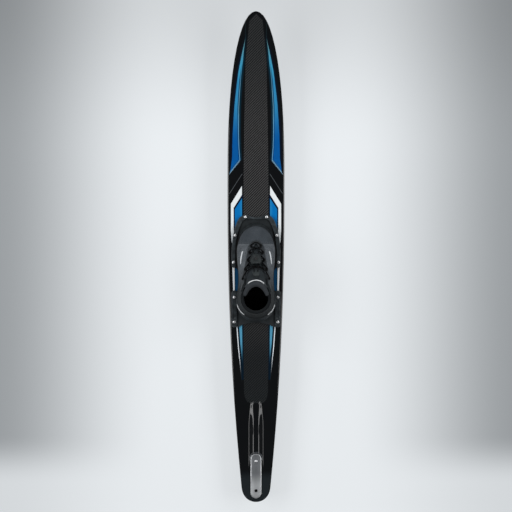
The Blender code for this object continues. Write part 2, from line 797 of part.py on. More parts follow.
def blade_outline():
    """The blade in the fin's own frame: y along the ski, z up."""
    base = -TAIL_THICKNESS
    top = base - FIN_BLOCK_REACH + blade_slot_depth() - GAP
    bottom = base - FIN_BLADE_DEPTH
    shoulder = base - FIN_BLADE_SHOULDER
    long = FIN_BLOCK_LENGTH / 2
    points = [
        (FIN_BLADE_REAR, shoulder),
        (-long, shoulder),
        (-long, top),
        (long, top),
        (long, shoulder),
        (FIN_BLADE_FRONT, shoulder),
    ]
    reach = FIN_BLADE_FRONT - FIN_BLADE_TIP_FRONT
    for i in range(1, 9):
        angle = math.pi / 2 * i / 8
        y = FIN_BLADE_TIP_FRONT + reach * math.cos(angle) ** 0.8
        points.append((y, shoulder + (bottom - shoulder) * math.sin(angle)))
    for i in range(5):
        angle = math.pi / 2 * i / 4
        y = FIN_BLADE_REAR + FIN_BLADE_HEEL_RADIUS * (1 - math.sin(angle))
        points.append((y, bottom + FIN_BLADE_HEEL_RADIUS * (1 - math.cos(angle))))
    return points


def blade_slot_depth():
    body = FIN_BLOCK_REACH + TAIL_THICKNESS - FIN_BLOCK_COVER
    return body - FIN_BLOCK_THREAD


def build_fin(fin):
    silver = material("brushed_aluminium", (0.62, 0.63, 0.65), 0.35, 1.0)
    steel = material("stainless_steel", (0.70, 0.70, 0.71), 0.22, 1.0)
    black_steel = material("black_steel", (0.03, 0.03, 0.03), 0.35, 1.0)
    low = FIN_PLATE_SEAT
    high = low + FIN_PLATE_THICKNESS
    half = FIN_PLATE_LENGTH / 2
    radius = FIN_PLATE_WIDTH / 2
    plate = place("fin_top_plate", loft([
        stadium(half, radius, low),
        stadium(half, radius, high - FIN_PLATE_BEVEL),
        stadium(half - FIN_PLATE_BEVEL, radius - FIN_PLATE_BEVEL, high),
    ]), silver, fin)
    bolt_holes = bmesh.new()
    thread_holes = bmesh.new()
    block_top = -FIN_BLOCK_COVER
    thread_end = block_top - FIN_BLOCK_THREAD
    hole = FIN_BOLT_RADIUS + GAP
    for sign in (1, -1):
        centre = (0.0, sign * FIN_BOLT_SPACING / 2)
        add_turned(bolt_holes, ((hole, low - GAP), (hole, high + GAP)), centre)
        add_turned(thread_holes, ((hole, thread_end - GAP), (hole, block_top + GAP)), centre)
    combine(plate, cutter("plate_holes", bolt_holes, fin))

    seat = high + GAP
    for word, sign, finish in (("front", 1, steel), ("rear", -1, black_steel)):
        bm = bmesh.new()
        profile = (
            *screw_head(FIN_BOLT_HEAD_RADIUS, FIN_BOLT_HEAD_HEIGHT, seat),
            (FIN_BOLT_RADIUS, seat),
            (FIN_BOLT_RADIUS, thread_end + GAP),
        )
        add_turned(bm, profile, (0.0, sign * FIN_BOLT_SPACING / 2))
        place(f"fin_bolt_{word}", bm, finish, fin)

    bottom = -TAIL_THICKNESS - FIN_BLOCK_REACH
    bm = bmesh.new()
    wide = FIN_BLOCK_WIDTH / 2
    long = FIN_BLOCK_LENGTH / 2
    add_box(bm, (-wide, -long, bottom), (wide, long, block_top))
    block = place("fin_block", bm, silver, fin)
    slot = bmesh.new()
    slot_half = FIN_BLADE_THICKNESS / 2 + GAP
    slot_top = bottom + blade_slot_depth()
    add_box(slot, (-slot_half, -long - GAP, bottom - GAP), (slot_half, long + GAP, slot_top))
    combine(block, cutter("blade_slot", slot, fin))
    combine(block, cutter("thread_holes", thread_holes, fin))

    outline = blade_outline()
    blade_half = FIN_BLADE_THICKNESS / 2
    place("fin_blade", loft([
        [Vector((x, y, z)) for y, z in outline] for x in (-blade_half, blade_half)
    ]), silver, fin)

    holes = bmesh.new()
    height = bottom + FIN_BLOCK_REACH / 2
    for i, word in enumerate(("rear", "middle", "front")):
        y = (i - 1) * SET_SCREW_SPACING
        across = Matrix.Translation((0.0, y, height)) @ Matrix.Rotation(math.pi / 2, 4, "Y")
        bm = bmesh.new()
        inner = blade_half + GAP
        add_turned(bm, (
            (SET_SCREW_RADIUS, inner),
            (SET_SCREW_RADIUS, wide - GAP),
            (0.5 * SET_SCREW_RADIUS, wide - GAP),
            (0.5 * SET_SCREW_RADIUS, wide - SET_SCREW_RADIUS),
        ), steps=8)
        bm.transform(across)
        place(f"set_screw_{word}", bm, steel, fin)
        hole_bm = bmesh.new()
        bore = SET_SCREW_RADIUS + GAP
        add_turned(hole_bm, ((bore, 0.0), (bore, wide + GAP)), steps=8)
        hole_bm.transform(across)
        scratch = bpy.data.meshes.new("bore")
        hole_bm.to_mesh(scratch)
        hole_bm.free()
        holes.from_mesh(scratch)
        bpy.data.meshes.remove(scratch)
    combine(block, cutter("set_screw_holes", holes, fin))


def build_clamps(binding):
    black = material("clamp_black", (0.035, 0.035, 0.038), 0.45)
    low = SOLE_THICKNESS + 2 * GAP
    high = low + CLAMP_THICKNESS
    hole = SCREW_RADIUS + SCREW_HOLE_CLEARANCE
    line = frame_line()
    path = [Vector(point[:2]) for point in line]
    halves = [point[2] for point in line]
    frame = place("front_frame", band(path, halves, low, high, CLAMP_BEVEL), black, binding)
    frame_places = [spot for spot in screw_places() if "rail" not in spot[0]]
    frame_holes = bmesh.new()
    add_clamp_holes(frame_holes, low - GAP, high + GAP, hole, frame_places)
    combine(frame, cutter("frame_holes", frame_holes, binding))
    for side, word in ((-1, "left"), (1, "right")):
        ends = [Vector((side * RAIL_X, y)) for y in
                (RAIL_FRONT_Y - RAIL_HALF_WIDTH, RAIL_REAR_Y + RAIL_HALF_WIDTH)]
        halves = [RAIL_HALF_WIDTH] * 2
        rail = place(f"{word}_rail", band(ends, halves, low, high, CLAMP_BEVEL), black, binding)
        holes = bmesh.new()
        places = [spot for spot in screw_places() if "rail" in spot[0] and word in spot[0]]
        add_clamp_holes(holes, low - GAP, high + GAP, hole, places)
        combine(rail, cutter(f"{word}_rail_holes", holes, binding))
        groove = bmesh.new()
        x = side * RAIL_X
        add_box(
            groove,
            (x - RAIL_GROOVE_HALF_WIDTH, RAIL_SCREW_YS[1] + RAIL_GROOVE_END,
             high - RAIL_GROOVE_DEPTH),
            (x + RAIL_GROOVE_HALF_WIDTH, RAIL_SCREW_YS[0] - RAIL_GROOVE_END, high + GAP),
        )
        combine(rail, cutter(f"{word}_rail_groove", groove, binding))

    steel = material("screw_steel", (0.72, 0.72, 0.73), 0.2, 1.0)
    brass = material("insert_brass", (0.78, 0.60, 0.28), 0.35, 1.0)
    seat = high + GAP
    insert_top = -LAMINATE - GAP
    insert_bottom = insert_top - INSERT_HEIGHT
    tip = insert_bottom + INSERT_RADIUS / 2
    for word, x, y in screw_places():
        bm = bmesh.new()
        profile = (
            *screw_head(SCREW_HEAD_RADIUS, SCREW_HEAD_HEIGHT, seat),
            (SCREW_RADIUS, seat),
            (SCREW_RADIUS, tip),
        )
        add_turned(bm, profile, (x, y))
        place(f"screw_{word}", bm, steel, binding)
        bm = bmesh.new()
        bore = SCREW_RADIUS + GAP
        add_turned(bm, (
            (bore, tip - GAP),
            (bore, insert_top),
            (INSERT_RADIUS, insert_top),
            (INSERT_RADIUS, insert_bottom),
        ), (x, y), steps=8)
        place(f"insert_{word}", bm, brass, binding)


# Boot


def sole_outline():
    """The sole flange's plan, clockwise from the toe."""
    edge = []
    line = [point for point in frame_line() if point.x > -FRAME_STEP / 4]
    for i, point in enumerate(line):
        before = line[max(i - 1, 0)]
        after = line[min(i + 1, len(line) - 1)]
        ahead = Vector((after.x - before.x, after.y - before.y)).normalized()
        side = Vector((-ahead.y, ahead.x)) * (point.z - CLAMP_LIP)
        edge.append((point.x + side.x, point.y + side.y))
    edge[0] = (0.0, edge[0][1])
    leg_x, leg_y, leg_half = FRAME_PATH[-1]
    waist = SOLE_WAIST_HALF_WIDTH
    rail_out = RAIL_X + RAIL_HALF_WIDTH - CLAMP_LIP
    front = RAIL_FRONT_Y - CLAMP_LIP
    rear = RAIL_REAR_Y + CLAMP_LIP
    corner = RAIL_HALF_WIDTH - CLAMP_LIP
    edge += [
        (leg_x + 0.6 * leg_half, leg_y - 0.5 * leg_half),
        (leg_x, leg_y - 0.75 * leg_half),
        ((leg_x + waist) / 2, leg_y - 1.2 * leg_half),
        (waist + 0.0015, leg_y - 2.6 * leg_half),
        (waist, leg_y - 4.5 * leg_half),
        (waist, front + 1.2 * corner),
        (waist + 0.0020, front + 0.3 * corner),
        (RAIL_X - 0.4 * corner, front - 0.08 * corner),
        (RAIL_X + 0.4 * corner, front - 0.08 * corner),
        (rail_out - 0.08 * corner, front - 0.6 * corner),
        (rail_out, front - corner),
        (rail_out, rear + corner),
        (rail_out - 0.08 * corner, rear + 0.6 * corner),
        (RAIL_X + 0.4 * corner, rear + 0.08 * corner),
        (RAIL_X - 0.4 * corner, rear + 0.08 * corner),
    ]
    scallop = SOLE_SCALLOP_HALF_WIDTH
    for share in (1.0, 0.82, 0.62, 0.42, 0.2, 0.0):
        rise = (SOLE_HEEL_Y - rear) * math.cos(share * math.pi / 2) ** 0.7
        edge.append((scallop * share, rear + rise))
    left = [(-x, y) for x, y in reversed(edge[1:-1])]
    return [*edge, *left]


def build_sole(binding):
    rubber = material("sole_rubber", (0.045, 0.05, 0.05), 0.6)
    plan = sole_outline()
    low, high = GAP, GAP + SOLE_THICKNESS
    plate = loft([[Vector((x, y, z)) for x, y in plan] for z in (low, high)])
    sole = place("sole_flange", plate, rubber, binding)
    root = high - RAND_ROOT
    rings = []
    outer, inner = RAND_CLEARANCE + RAND_THICKNESS, RAND_CLEARANCE
    up = ((0, outer), (0.3, outer), (0.65, outer), (1, outer))
    down = [(share, inner) for share in (1, 0.85, 0.68, 0.5, 0.34, 0.18, 0)]
    for share, out in (*up, *down):
        ring = []
        for i in range(RING_POINTS):
            v = -1 + 2 * i / RING_POINTS
            top = rand_height(boot_ring(RAND_VALUE_HEIGHT, v).y)
            z = root + (top - root) * share
            point = boot_point(z, v, out, level=share == 0)
            ring.append(point)
        rings.append(ring)
    holes = bmesh.new()
    add_clamp_holes(holes, low - GAP / 2, high + GAP, SCREW_RADIUS + SCREW_HOLE_CLEARANCE)
    combine(sole, cutter("sole_holes", holes, binding))
    combine(sole, cutter("rand_form", loft(rings, loop=True), binding), "UNION")

    foam = material("footbed_foam", (0.03, 0.03, 0.035), 0.9)
    floor = high + GAP
    inset = -BOOT_WALL - FOOTBED_CLEARANCE
    place("footbed", loft([
        rim(floor, inset, level=True),
        rim(floor + FOOTBED_THICKNESS, inset - FOOTBED_CLEARANCE, level=True),
    ]), foam, binding)


def shell_bmesh():
    """The boot's whole upper wall, open at the sole and at the mouth."""
    bottom = 2 * GAP + SOLE_THICKNESS
    rings = [rim(bottom, 0.0, level=True)]
    rings += [rim(z) for z in SHELL_LEVELS]
    rings.append(rim(SHELL_TOP))
    rings.append(rim(SHELL_TOP, -BOOT_WALL, level=True))
    rings += [rim(z, -BOOT_WALL) for z in LINING_LEVELS]
    rings.append(rim(bottom, -BOOT_WALL, level=True))
    return loft(rings, loop=True)


def throat_cutter(binding):
    """The slot in the boot's front that the tongue closes, cut straight down."""
    heights = [point[0] for point in THROAT_HALF_WIDTH]
    half = []
    for z in heights:
        x = throat_half_width(z)
        half.append((x, boot_ring(z, rim_value(z, x)).y))
    half.append((half[-1][0], half[-1][1] - THROAT_CUT_REACH))
    outline = [*half, *((-x, y) for x, y in reversed(half[1:]))]
    low = heights[0] - THROAT_CUT_DEPTH
    return cutter("throat_form", loft([
        [Vector((x, y, z)) for x, y in outline] for z in (low, SHELL_TOP + CUT_ROOM)
    ]), binding)


def seam_box(name, x_range, y_front, y_back, binding):
    """A block of space between two slanted planes across the boot: y at deck and slope."""
    top = SHELL_TOP + CUT_TOP_ROOM
    rings = []
    for z in (-CUT_FLOOR_ROOM, top):
        front = y_front[0] + y_front[1] * z
        back = y_back[0] + y_back[1] * z
        rings.append([Vector((x, y, z)) for x, y in (
            (x_range[0], back), (x_range[1], back), (x_range[1], front), (x_range[0], front))])
    return cutter(name, loft(rings), binding)


def build_upper(binding):
    heather = material("grey_fabric", (0.09, 0.095, 0.105), 0.85)
    dark = material("dark_mesh", (0.02, 0.02, 0.022), 0.8)
    throat = throat_cutter(binding)
    far = CUT_REACH
    half_gap = GAP / 2
    vamp_seam = (VAMP_SEAM_Y, 0.0)
    heel_seam = (HEEL_SEAM_LOW_Y, HEEL_SEAM_SLOPE)
    pieces = (
        ("vamp", heather, (-far, far), (far, 0.0), (vamp_seam[0] + half_gap, vamp_seam[1])),
        ("quarter_left", heather, (-far, -half_gap), (vamp_seam[0] - half_gap, vamp_seam[1]),
         (heel_seam[0] + half_gap, heel_seam[1])),
        ("quarter_right", heather, (half_gap, far), (vamp_seam[0] - half_gap, vamp_seam[1]),
         (heel_seam[0] + half_gap, heel_seam[1])),
        ("heel_shell", dark, (-far, far), (heel_seam[0] - half_gap, heel_seam[1]), (-far, 0.0)),
    )
    for name, finish, across, front, back in pieces:
        piece = place(name, shell_bmesh(), finish, binding)
        combine(piece, throat)
        combine(piece, seam_box(f"{name}_space", across, front, back, binding), "INTERSECT")


def build_tongue(binding):
    black = material("tongue_fabric", (0.025, 0.027, 0.03), 0.85)
    grey = material("pad_fabric", (0.07, 0.075, 0.08), 0.8)
    silver = material("silver_piping", (0.6, 0.61, 0.63), 0.4, 0.3)
    levels = 10
    columns = 8
    outer = []
    inner = []
    face = -BOOT_WALL - TONGUE_CLEARANCE
    for i in range(levels + 1):
        z = TONGUE_BOTTOM + (TONGUE_TOP - TONGUE_BOTTOM) * i / levels
        edge = rim_value(z, tongue_half_width(z))
        values = [edge * (2 * j / columns - 1) for j in range(columns + 1)]
        level = i == levels
        outer.append([boot_point(z, v, face, level) for v in values])
        inner.append([boot_point(z, v, face - TONGUE_THICKNESS, level) for v in values])
    place("tongue", slab(outer, inner), black, binding)

    rings = []
    piping = []
    steps = 18
    for i in range(-1, steps + 2):
        share = min(max(i / steps, 0.0), 1.0)
        v = TONGUE_PAD_END * (2 * share - 1)
        side = abs(2 * share - 1)
        size = 1 - (1 - TONGUE_PAD_END_SHARE) * side**2
        tip = i < 0 or i > steps
        if tip:
            v *= 1.06
            size *= 0.45
        depth = TONGUE_PAD_HALF_DEPTH * size
        rise = TONGUE_PAD_HALF_HEIGHT * size
        settled = TONGUE_PAD_HALF_HEIGHT * (1 - (1 - TONGUE_PAD_END_SHARE) * side**2)
        z = TONGUE_TOP + GAP + settled
        centre = boot_point(z, v, -TONGUE_PAD_HALF_DEPTH, level=True)
        out = (boot_point(z, v, 0.0) - centre).normalized()
        ring = []
        for k in range(10):
            angle = 2 * math.pi * k / 10
            ring.append(centre + out * depth * math.cos(angle)
                        + Vector((0, 0, rise * math.sin(angle))))
        rings.append(ring)
        if 0.18 <= share <= 0.82 and not tip:
            piping.append((centre + out * (depth + GAP + PIPING_RADIUS), out))
    place("tongue_pad", loft(rings), grey, binding)
    place("tongue_piping", loft([piping_ring(point, out) for point, out in piping]), silver,
          binding)


def piping_ring(point, out):
    """A six sided ring round a horizontal line at this point."""
    ring = []
    for k in range(6):
        angle = 2 * math.pi * k / 6
        ring.append(point + out * PIPING_RADIUS * math.cos(angle)
                    + Vector((0, 0, PIPING_RADIUS * math.sin(angle))))
    return ring


def build_collar(binding):
    padding = material("collar_fabric", (0.03, 0.03, 0.034), 0.75)
    silver = material("grey_piping", (0.42, 0.43, 0.45), 0.5)
    z = SHELL_TOP + GAP + COLLAR_RADIUS
    steps = 24
    rings = []
    for i in range(-1, steps + 2):
        share = min(max(i / steps, 0.0), 1.0)
        tip = i < 0 or i > steps
        v = COLLAR_START + 2 * (1 - COLLAR_START) * share
        radius = COLLAR_RADIUS
        if tip:
            v += -0.012 if i < 0 else 0.012
            radius *= 0.45
        centre = boot_point(z, v, -COLLAR_INSET, level=True)
        out = (boot_point(z, v, 0.0, level=True) - centre).normalized()
        ring = []
        for k in range(8):
            angle = 2 * math.pi * (k + 0.5) / 8
            ring.append(centre + out * radius * math.cos(angle)
                        + Vector((0, 0, radius * math.sin(angle))))
        rings.append(ring)
    place("collar_pad", loft(rings), padding, binding)

    steps = 12
    for side, word in ((-1, "left"), (1, "right")):
        rings = []
        for i in range(steps + 1):
            v = side * (HEEL_PIPING_START + (HEEL_PIPING_END - HEEL_PIPING_START) * i / steps)
            top = rand_height(boot_ring(RAND_VALUE_HEIGHT, v).y) + PIPING_RADIUS + HEEL_PIPING_RISE
            centre = boot_point(top, v, PIPING_RADIUS + GAP + HEEL_PIPING_OUT, level=True)
            out = (centre - boot_point(top, v, 0.0, level=True)).normalized()
            rings.append(piping_ring(centre, out))
        place(f"heel_piping_{word}", loft(rings), silver, binding)


def loop_frame(side, z):
    """Position and axes of a lace loop on its lacing band: along, across and out."""
    x = (throat_half_width(z) + eyestay_half_width(z)) / 2
    v = side * rim_value(z, x)
    above = z + LOOP_SLOPE_STEP
    x_above = (throat_half_width(above) + eyestay_half_width(above)) / 2
    ahead = boot_ring(above, side * rim_value(above, x_above)) - boot_ring(z, v)
    out = boot_normal(z, v)
    along = (ahead - out * ahead.dot(out)).normalized()
    lift = EYESTAY_LIFT + EYESTAY_THICKNESS + GAP + LACE_RADIUS
    return boot_ring(z, v) + out * lift, along, out.cross(along), out


def add_loop(bm, side, z):
    """A lace loop: an arch over the lace, rooted in the lacing band."""
    centre, along, across, out = loop_frame(side, z)
    bore = LACE_RADIUS + LOOP_BORE_CLEARANCE
    leg = LACE_RADIUS + GAP + LOOP_ROOT
    profile = []
    for radius, order in ((bore + LOOP_WALL, 1), (bore, -1)):
        arch = [(radius, -leg)]
        arch += [
            (radius * math.cos(math.pi * k / 6), radius * math.sin(math.pi * k / 6))
            for k in range(7)
        ]
        arch.append((-radius, -leg))
        profile += arch[::order]
    rings = []
    for end in (-LOOP_HALF_LENGTH, LOOP_HALF_LENGTH):
        rings.append([centre + along * end + across * u + out * w for u, w in profile])
    add_loft(bm, rings)


def build_eyestays(binding):
    black = material("eyestay_black", (0.02, 0.02, 0.022), 0.6)
    levels = 13
    columns = 4
    first = EYESTAY_HALF_WIDTH[0][0]
    for side, word in ((-1, "left"), (1, "right")):
        low_grid = []
        high_grid = []
        for i in range(levels + 1):
            z = first + (EYESTAY_TOP - first) * (i / levels) ** 1.25
            inner = rim_value(z, max(throat_half_width(z), GAP))
            outer = rim_value(z, eyestay_half_width(z))
            values = [side * (inner + (outer - inner) * j / columns) for j in range(columns + 1)]
            low_grid.append([boot_point(z, v, EYESTAY_LIFT) for v in values])
            high_grid.append([boot_point(z, v, EYESTAY_LIFT + EYESTAY_THICKNESS) for v in values])
        band_solid = place(f"eyestay_{word}", slab(high_grid, low_grid), black, binding)
        loops = bmesh.new()
        for z in LOOP_HEIGHTS:
            add_loop(loops, side, z)
        combine(band_solid, cutter(f"loops_{word}", loops, binding), "UNION")


# Laces, lace lock and pull tab


def strand_ends():
    """The two laces run straight from the lock's toe end to the tab, over the tongue."""
    toe = over_front(0.0, STRAND_TOE_Y, STRAND_TOE_LIFT)
    tab = over_front(0.0, STRAND_TAB_Y, STRAND_TAB_LIFT)
    return toe, tab


def strand_matrix(y):
    """Frame on the strands: X across, Y down them to the toe, Z out of the boot."""
    toe, tab = strand_ends()
    down = (toe - tab).normalized()
    centre = toe + down * (y - toe.y) / down.y
    out = Vector((1.0, 0.0, 0.0)).cross(down)
    rows = Matrix((
        (1.0, down.x, out.x, centre.x),
        (0.0, down.y, out.y, centre.y),
        (0.0, down.z, out.z, centre.z),
        (0.0, 0.0, 0.0, 1.0),
    ))
    return rows


def over_rim(x, z, lift):
    """A point at this distance over the boot's front, at this height of its form."""
    return boot_point(z, math.copysign(rim_value(z, abs(x)), x), lift)


def through_loop(side, z):
    """A lace's points through a loop, toe end first, with its turn toward the throat."""
    centre, along, across, out = loop_frame(side, z)
    reach = LOOP_HALF_LENGTH + LACE_RADIUS / 2
    inward = across if across.x * side < 0 else -across
    turn = LACE_TURN
    toe_end = centre - along * reach
    ankle_end = centre + along * reach
    rise = out * LACE_TURN_LIFT
    return [
        toe_end - along * turn + inward * turn + rise,
        toe_end,
        centre,
        ankle_end,
        ankle_end + along * turn + inward * turn + rise,
    ]


def crossing(side, z_from, z_to, lift):
    """A lace's points over the tongue, from one side's height to the other's."""
    found = []
    over_band = EYESTAY_LIFT + EYESTAY_THICKNESS + GAP + LACE_RADIUS + LACE_TURN_LIFT
    for share in (-0.8, -0.35, 0.0, 0.35, 0.8):
        z = z_from + (z_to - z_from) * (share + 1) / 2
        x = -side * share * (throat_half_width(z) + LACE_EDGE_CLEARANCE)
        height = lift + (over_band - lift) * abs(share) ** 1.2
        found.append(over_rim(x, z, height))
    return found


def lower_lace_route():
    """From the tab's left socket through the lock, the toe's loops and back to the right."""
    tab = strand_matrix(STRAND_TAB_Y)
    toe = strand_matrix(STRAND_TOE_Y)
    halves = []
    for side in (-1, 1):
        start = tab @ Vector((side * STRAND_X, TAB_COLLAR_RADIUS + GAP, 0.0))
        end = toe @ Vector((side * STRAND_X, 0.0, 0.0))
        down = [start.lerp(end, share / 4) for share in range(5)]
        down.append(toe @ Vector((side * STRAND_X, 0.0045, -0.0002)))
        down += [over_front(side * x, y, lift) for x, y, lift in LACE_FEED]
        down += reversed(through_loop(side, LOOP_HEIGHTS[1]))
        halves.append(down)
    second = LOOP_HEIGHTS[1] - TOE_LOOP_RISE
    first = LOOP_HEIGHTS[0] + TOE_LOOP_RISE
    bar_z, bar_lift = TOE_BAR
    bar = [over_rim(x, bar_z, bar_lift) for x in (0.0045, 0.0, -0.0045)]
    return [
        *halves[0],
        *crossing(-1, second, first, TOE_CROSSING_LIFT),
        *reversed(through_loop(1, LOOP_HEIGHTS[0])),
        *bar,
        *through_loop(-1, LOOP_HEIGHTS[0]),
        *crossing(-1, first, second, TOE_CROSSING_LIFT + LACE_OVER_LACE),
        *reversed(halves[1]),
    ]


def upper_lace_route():
    """From the top left loop, crossing down to the third pair of loops and back up."""
    rows = LOOP_HEIGHTS[:1:-1]
    rise = ANKLE_LOOP_RISE
    low = TONGUE_REST_LIFT
    high = low + LACE_OVER_LACE
    down = list(reversed(through_loop(-1, rows[0])[:3]))
    up = list(reversed(through_loop(1, rows[0])[:3]))
    side = -1
    for above, below in zip(rows, rows[1:]):
        down += crossing(side, above - rise, below + rise, low)
        up += crossing(-side, above - rise, below + rise, high)
        side = -side
        down += reversed(through_loop(side, below))
        up += reversed(through_loop(-side, below))
    bar = crossing(side, rows[-1] - rise, rows[-1] - rise, low)
    return [*down, *bar, *reversed(up)]


def tube(name, line, radius, finish, parent, resolution=2):
    """A closed tube along a line of points."""
    curve = bpy.data.curves.new(name, "CURVE")
    curve.dimensions = "3D"
    curve.bevel_depth = radius
    curve.bevel_resolution = resolution
    curve.use_fill_caps = True
    run = curve.splines.new("POLY")
    run.points.add(len(line) - 1)
    for point, place_at in zip(run.points, line):
        point.co = (*place_at, 1.0)
    curve.materials.append(finish)
    made = bpy.data.objects.new(name, curve)
    made.parent = parent
    bpy.context.scene.collection.objects.link(made)
    return made


def build_laces(binding):
    cord = material("lace_cord", (0.015, 0.015, 0.017), 0.7)
    for name, route in (("lower_lace", lower_lace_route()), ("upper_lace", upper_lace_route())):
        tube(name, spline(route, LACE_STEP, LACE_BEND), LACE_RADIUS, cord, binding)


def lock_heights():
    """Heights in the lock over the laces' centre: base, floor, ear top, roof and top."""
    ear_top = -LACE_RADIUS - GAP
    ear_bottom = ear_top - LOCK_EAR_THICKNESS
    floor = ear_bottom - GAP - LOCK_SPRING_LENGTH - GAP
    base = floor - LOCK_BASE_THICKNESS
    roof = LACE_RADIUS + RUNNING_CLEARANCE + LOCK_ROOF
    top = roof + LOCK_CAP_DEPTH
    return base, floor, ear_bottom, ear_top, roof, top


def lock_ring(z, inset=0.0):
    half = []
    for x, y in LOCK_OUTLINE:
        size = math.hypot(x, y)
        half.append(Vector((x * (1 - inset / size), y * (1 - inset / size), z)))
    return [*half, *(Vector((-p.x, p.y, p.z)) for p in reversed(half))]


def build_lock(binding):
    shell = material("lock_green_black", (0.045, 0.052, 0.05), 0.55)
    black = material("button_black", (0.02, 0.02, 0.02), 0.5)
    steel = material("spring_steel", (0.6, 0.6, 0.6), 0.3, 1.0)
    base, floor, ear_bottom, ear_top, roof, top = lock_heights()
    frame = empty("lock_frame", strand_matrix(LOCK_Y), binding)
    housing = place("lock_housing", loft([
        lock_ring(floor + GAP),
        lock_ring(top - LOCK_BEVEL),
        lock_ring(top, LOCK_BEVEL),
    ]), shell, frame)
    space = bmesh.new()
    channel = LACE_RADIUS + RUNNING_CLEARANCE
    reach = LOCK_OUTLINE[0][1] + 0.01
    for side in (-1, 1):
        along = Matrix.Translation((side * STRAND_X, 0, 0)) @ Matrix.Rotation(math.pi / 2, 4, "X")
        rings = [circle(channel, 10, z) for z in (-reach, reach)]
        add_loft(space, [[along @ point for point in ring] for ring in rings])
    combine(housing, cutter("lace_channels", space, frame))
    bore = bmesh.new()
    stem_bore = LOCK_STEM_RADIUS + RUNNING_CLEARANCE
    add_turned(bore, ((stem_bore, floor), (stem_bore, roof + GAP)))
    combine(housing, cutter("stem_bore", bore, frame))
    recess = bmesh.new()
    cap_bore = LOCK_CAP_RADIUS + RUNNING_CLEARANCE
    add_turned(recess, ((cap_bore, roof), (cap_bore, top + GAP)))
    combine(housing, cutter("cap_recess", recess, frame))
    pocket = bmesh.new()
    ear_x = LOCK_EAR_REACH + RUNNING_CLEARANCE
    ear_y = LOCK_EAR_HALF_LENGTH + RUNNING_CLEARANCE
    add_box(pocket, (-ear_x, -ear_y, floor), (ear_x, ear_y, 0.0))
    combine(housing, cutter("ear_pocket", pocket, frame))

    place("lock_base", loft([lock_ring(base), lock_ring(floor)]), shell, frame)

    travel_gap = LOCK_CAP_DEPTH - LOCK_CAP_PROUD
    cap_low = roof + travel_gap
    bm = bmesh.new()
    add_turned(bm, (
        (LOCK_CAP_RADIUS * 0.9, top + LOCK_CAP_PROUD),
        (LOCK_CAP_RADIUS, top + LOCK_CAP_PROUD * 0.4),
        (LOCK_CAP_RADIUS, cap_low),
        (LOCK_STEM_RADIUS, cap_low),
        (LOCK_STEM_RADIUS, ear_bottom),
    ))
    button = place("lock_button", bm, black, frame)
    ears = bmesh.new()
    add_box(ears, (-LOCK_EAR_REACH, -LOCK_EAR_HALF_LENGTH, ear_bottom),
            (LOCK_EAR_REACH, LOCK_EAR_HALF_LENGTH, ear_top))
    combine(button, cutter("button_ears", ears, frame), "UNION")

    wire = LOCK_SPRING_WIRE
    start, end = floor + GAP + wire, ear_bottom - GAP - wire
    route = []
    steps = 9 * LOCK_SPRING_TURNS
    for i in range(steps + 1):
        angle = 2 * math.pi * LOCK_SPRING_TURNS * i / steps
        route.append((LOCK_SPRING_RADIUS * math.cos(angle), LOCK_SPRING_RADIUS * math.sin(angle),
                      start + (end - start) * i / steps))
    tube("lock_spring", route, wire, steel, frame, 1)


def build_tab(binding):
    grey = material("tab_rubber", (0.09, 0.10, 0.095), 0.6)
    steel = material("pin_steel", (0.6, 0.6, 0.6), 0.3, 1.0)
    frame = empty("tab_frame", strand_matrix(STRAND_TAB_Y), binding)
    half = TAB_THICKNESS / 2
    outline = (
        (TAB_HALF_WIDTH * 0.72, TAB_FRONT),
        (TAB_HALF_WIDTH, TAB_FRONT - 0.0040),
        (TAB_HALF_WIDTH * 0.86, TAB_FRONT - TAB_LENGTH * 0.55),
        (TAB_HALF_WIDTH * 0.80, TAB_FRONT - TAB_LENGTH + 0.0030),
        (TAB_HALF_WIDTH * 0.55, TAB_FRONT - TAB_LENGTH),
    )

    def ring(z, inset):
        right = [Vector((x - inset, y - math.copysign(inset, y), z)) for x, y in outline]
        return [*right, *(Vector((-p.x, p.y, p.z)) for p in reversed(right))]

    tab = place("pull_tab", loft([
        ring(-half, TAB_BEVEL),
        ring(-half + TAB_BEVEL, 0.0),
        ring(half - TAB_BEVEL, 0.0),
        ring(half, TAB_BEVEL),
    ]), grey, frame)
    slots = bmesh.new()
    slot_half = LACE_RADIUS + RUNNING_CLEARANCE
    room = LACE_RADIUS + RUNNING_CLEARANCE
    for side in (-1, 1):
        x = side * STRAND_X
        add_box(slots, (x - slot_half, -room, -room), (x + slot_half, TAB_FRONT + GAP, half + GAP))
    combine(tab, cutter("tab_slots", slots, frame))
    bore = TAB_PIN_RADIUS + GAP
    across = Matrix.Rotation(math.pi / 2, 4, "Y")
    hole = bmesh.new()
    add_turned(hole, ((bore, -TAB_PIN_HALF_LENGTH - GAP), (bore, TAB_PIN_HALF_LENGTH + GAP)),
               steps=8)
    hole.transform(across)
    combine(tab, cutter("tab_pin_hole", hole, frame))
    pin = bmesh.new()
    collar = TAB_COLLAR_RADIUS
    profile = [(TAB_PIN_RADIUS, -TAB_PIN_HALF_LENGTH)]
    for x in (-STRAND_X, STRAND_X):
        profile += [
            (TAB_PIN_RADIUS, x - collar),
            (collar, x - collar),
            (collar, x + collar),
            (TAB_PIN_RADIUS, x + collar),
        ]
    profile.append((TAB_PIN_RADIUS, TAB_PIN_HALF_LENGTH))
    add_turned(pin, profile, steps=8)
    pin.transform(across)
    place("pull_tab_pin", pin, steel, frame)


def fin_frame():
    """The fin's own frame on the deck: Y along the plate, Z out of the deck."""
    half = FIN_PLATE_LENGTH / 2
    rise = deck_height(FIN_Y + half) - deck_height(FIN_Y - half)
    slope = math.atan2(rise, FIN_PLATE_LENGTH)
    middle = (deck_height(FIN_Y + half) + deck_height(FIN_Y - half)) / 2
    return Matrix.Translation((0.0, FIN_Y, middle)) @ Matrix.Rotation(slope, 4, "X")


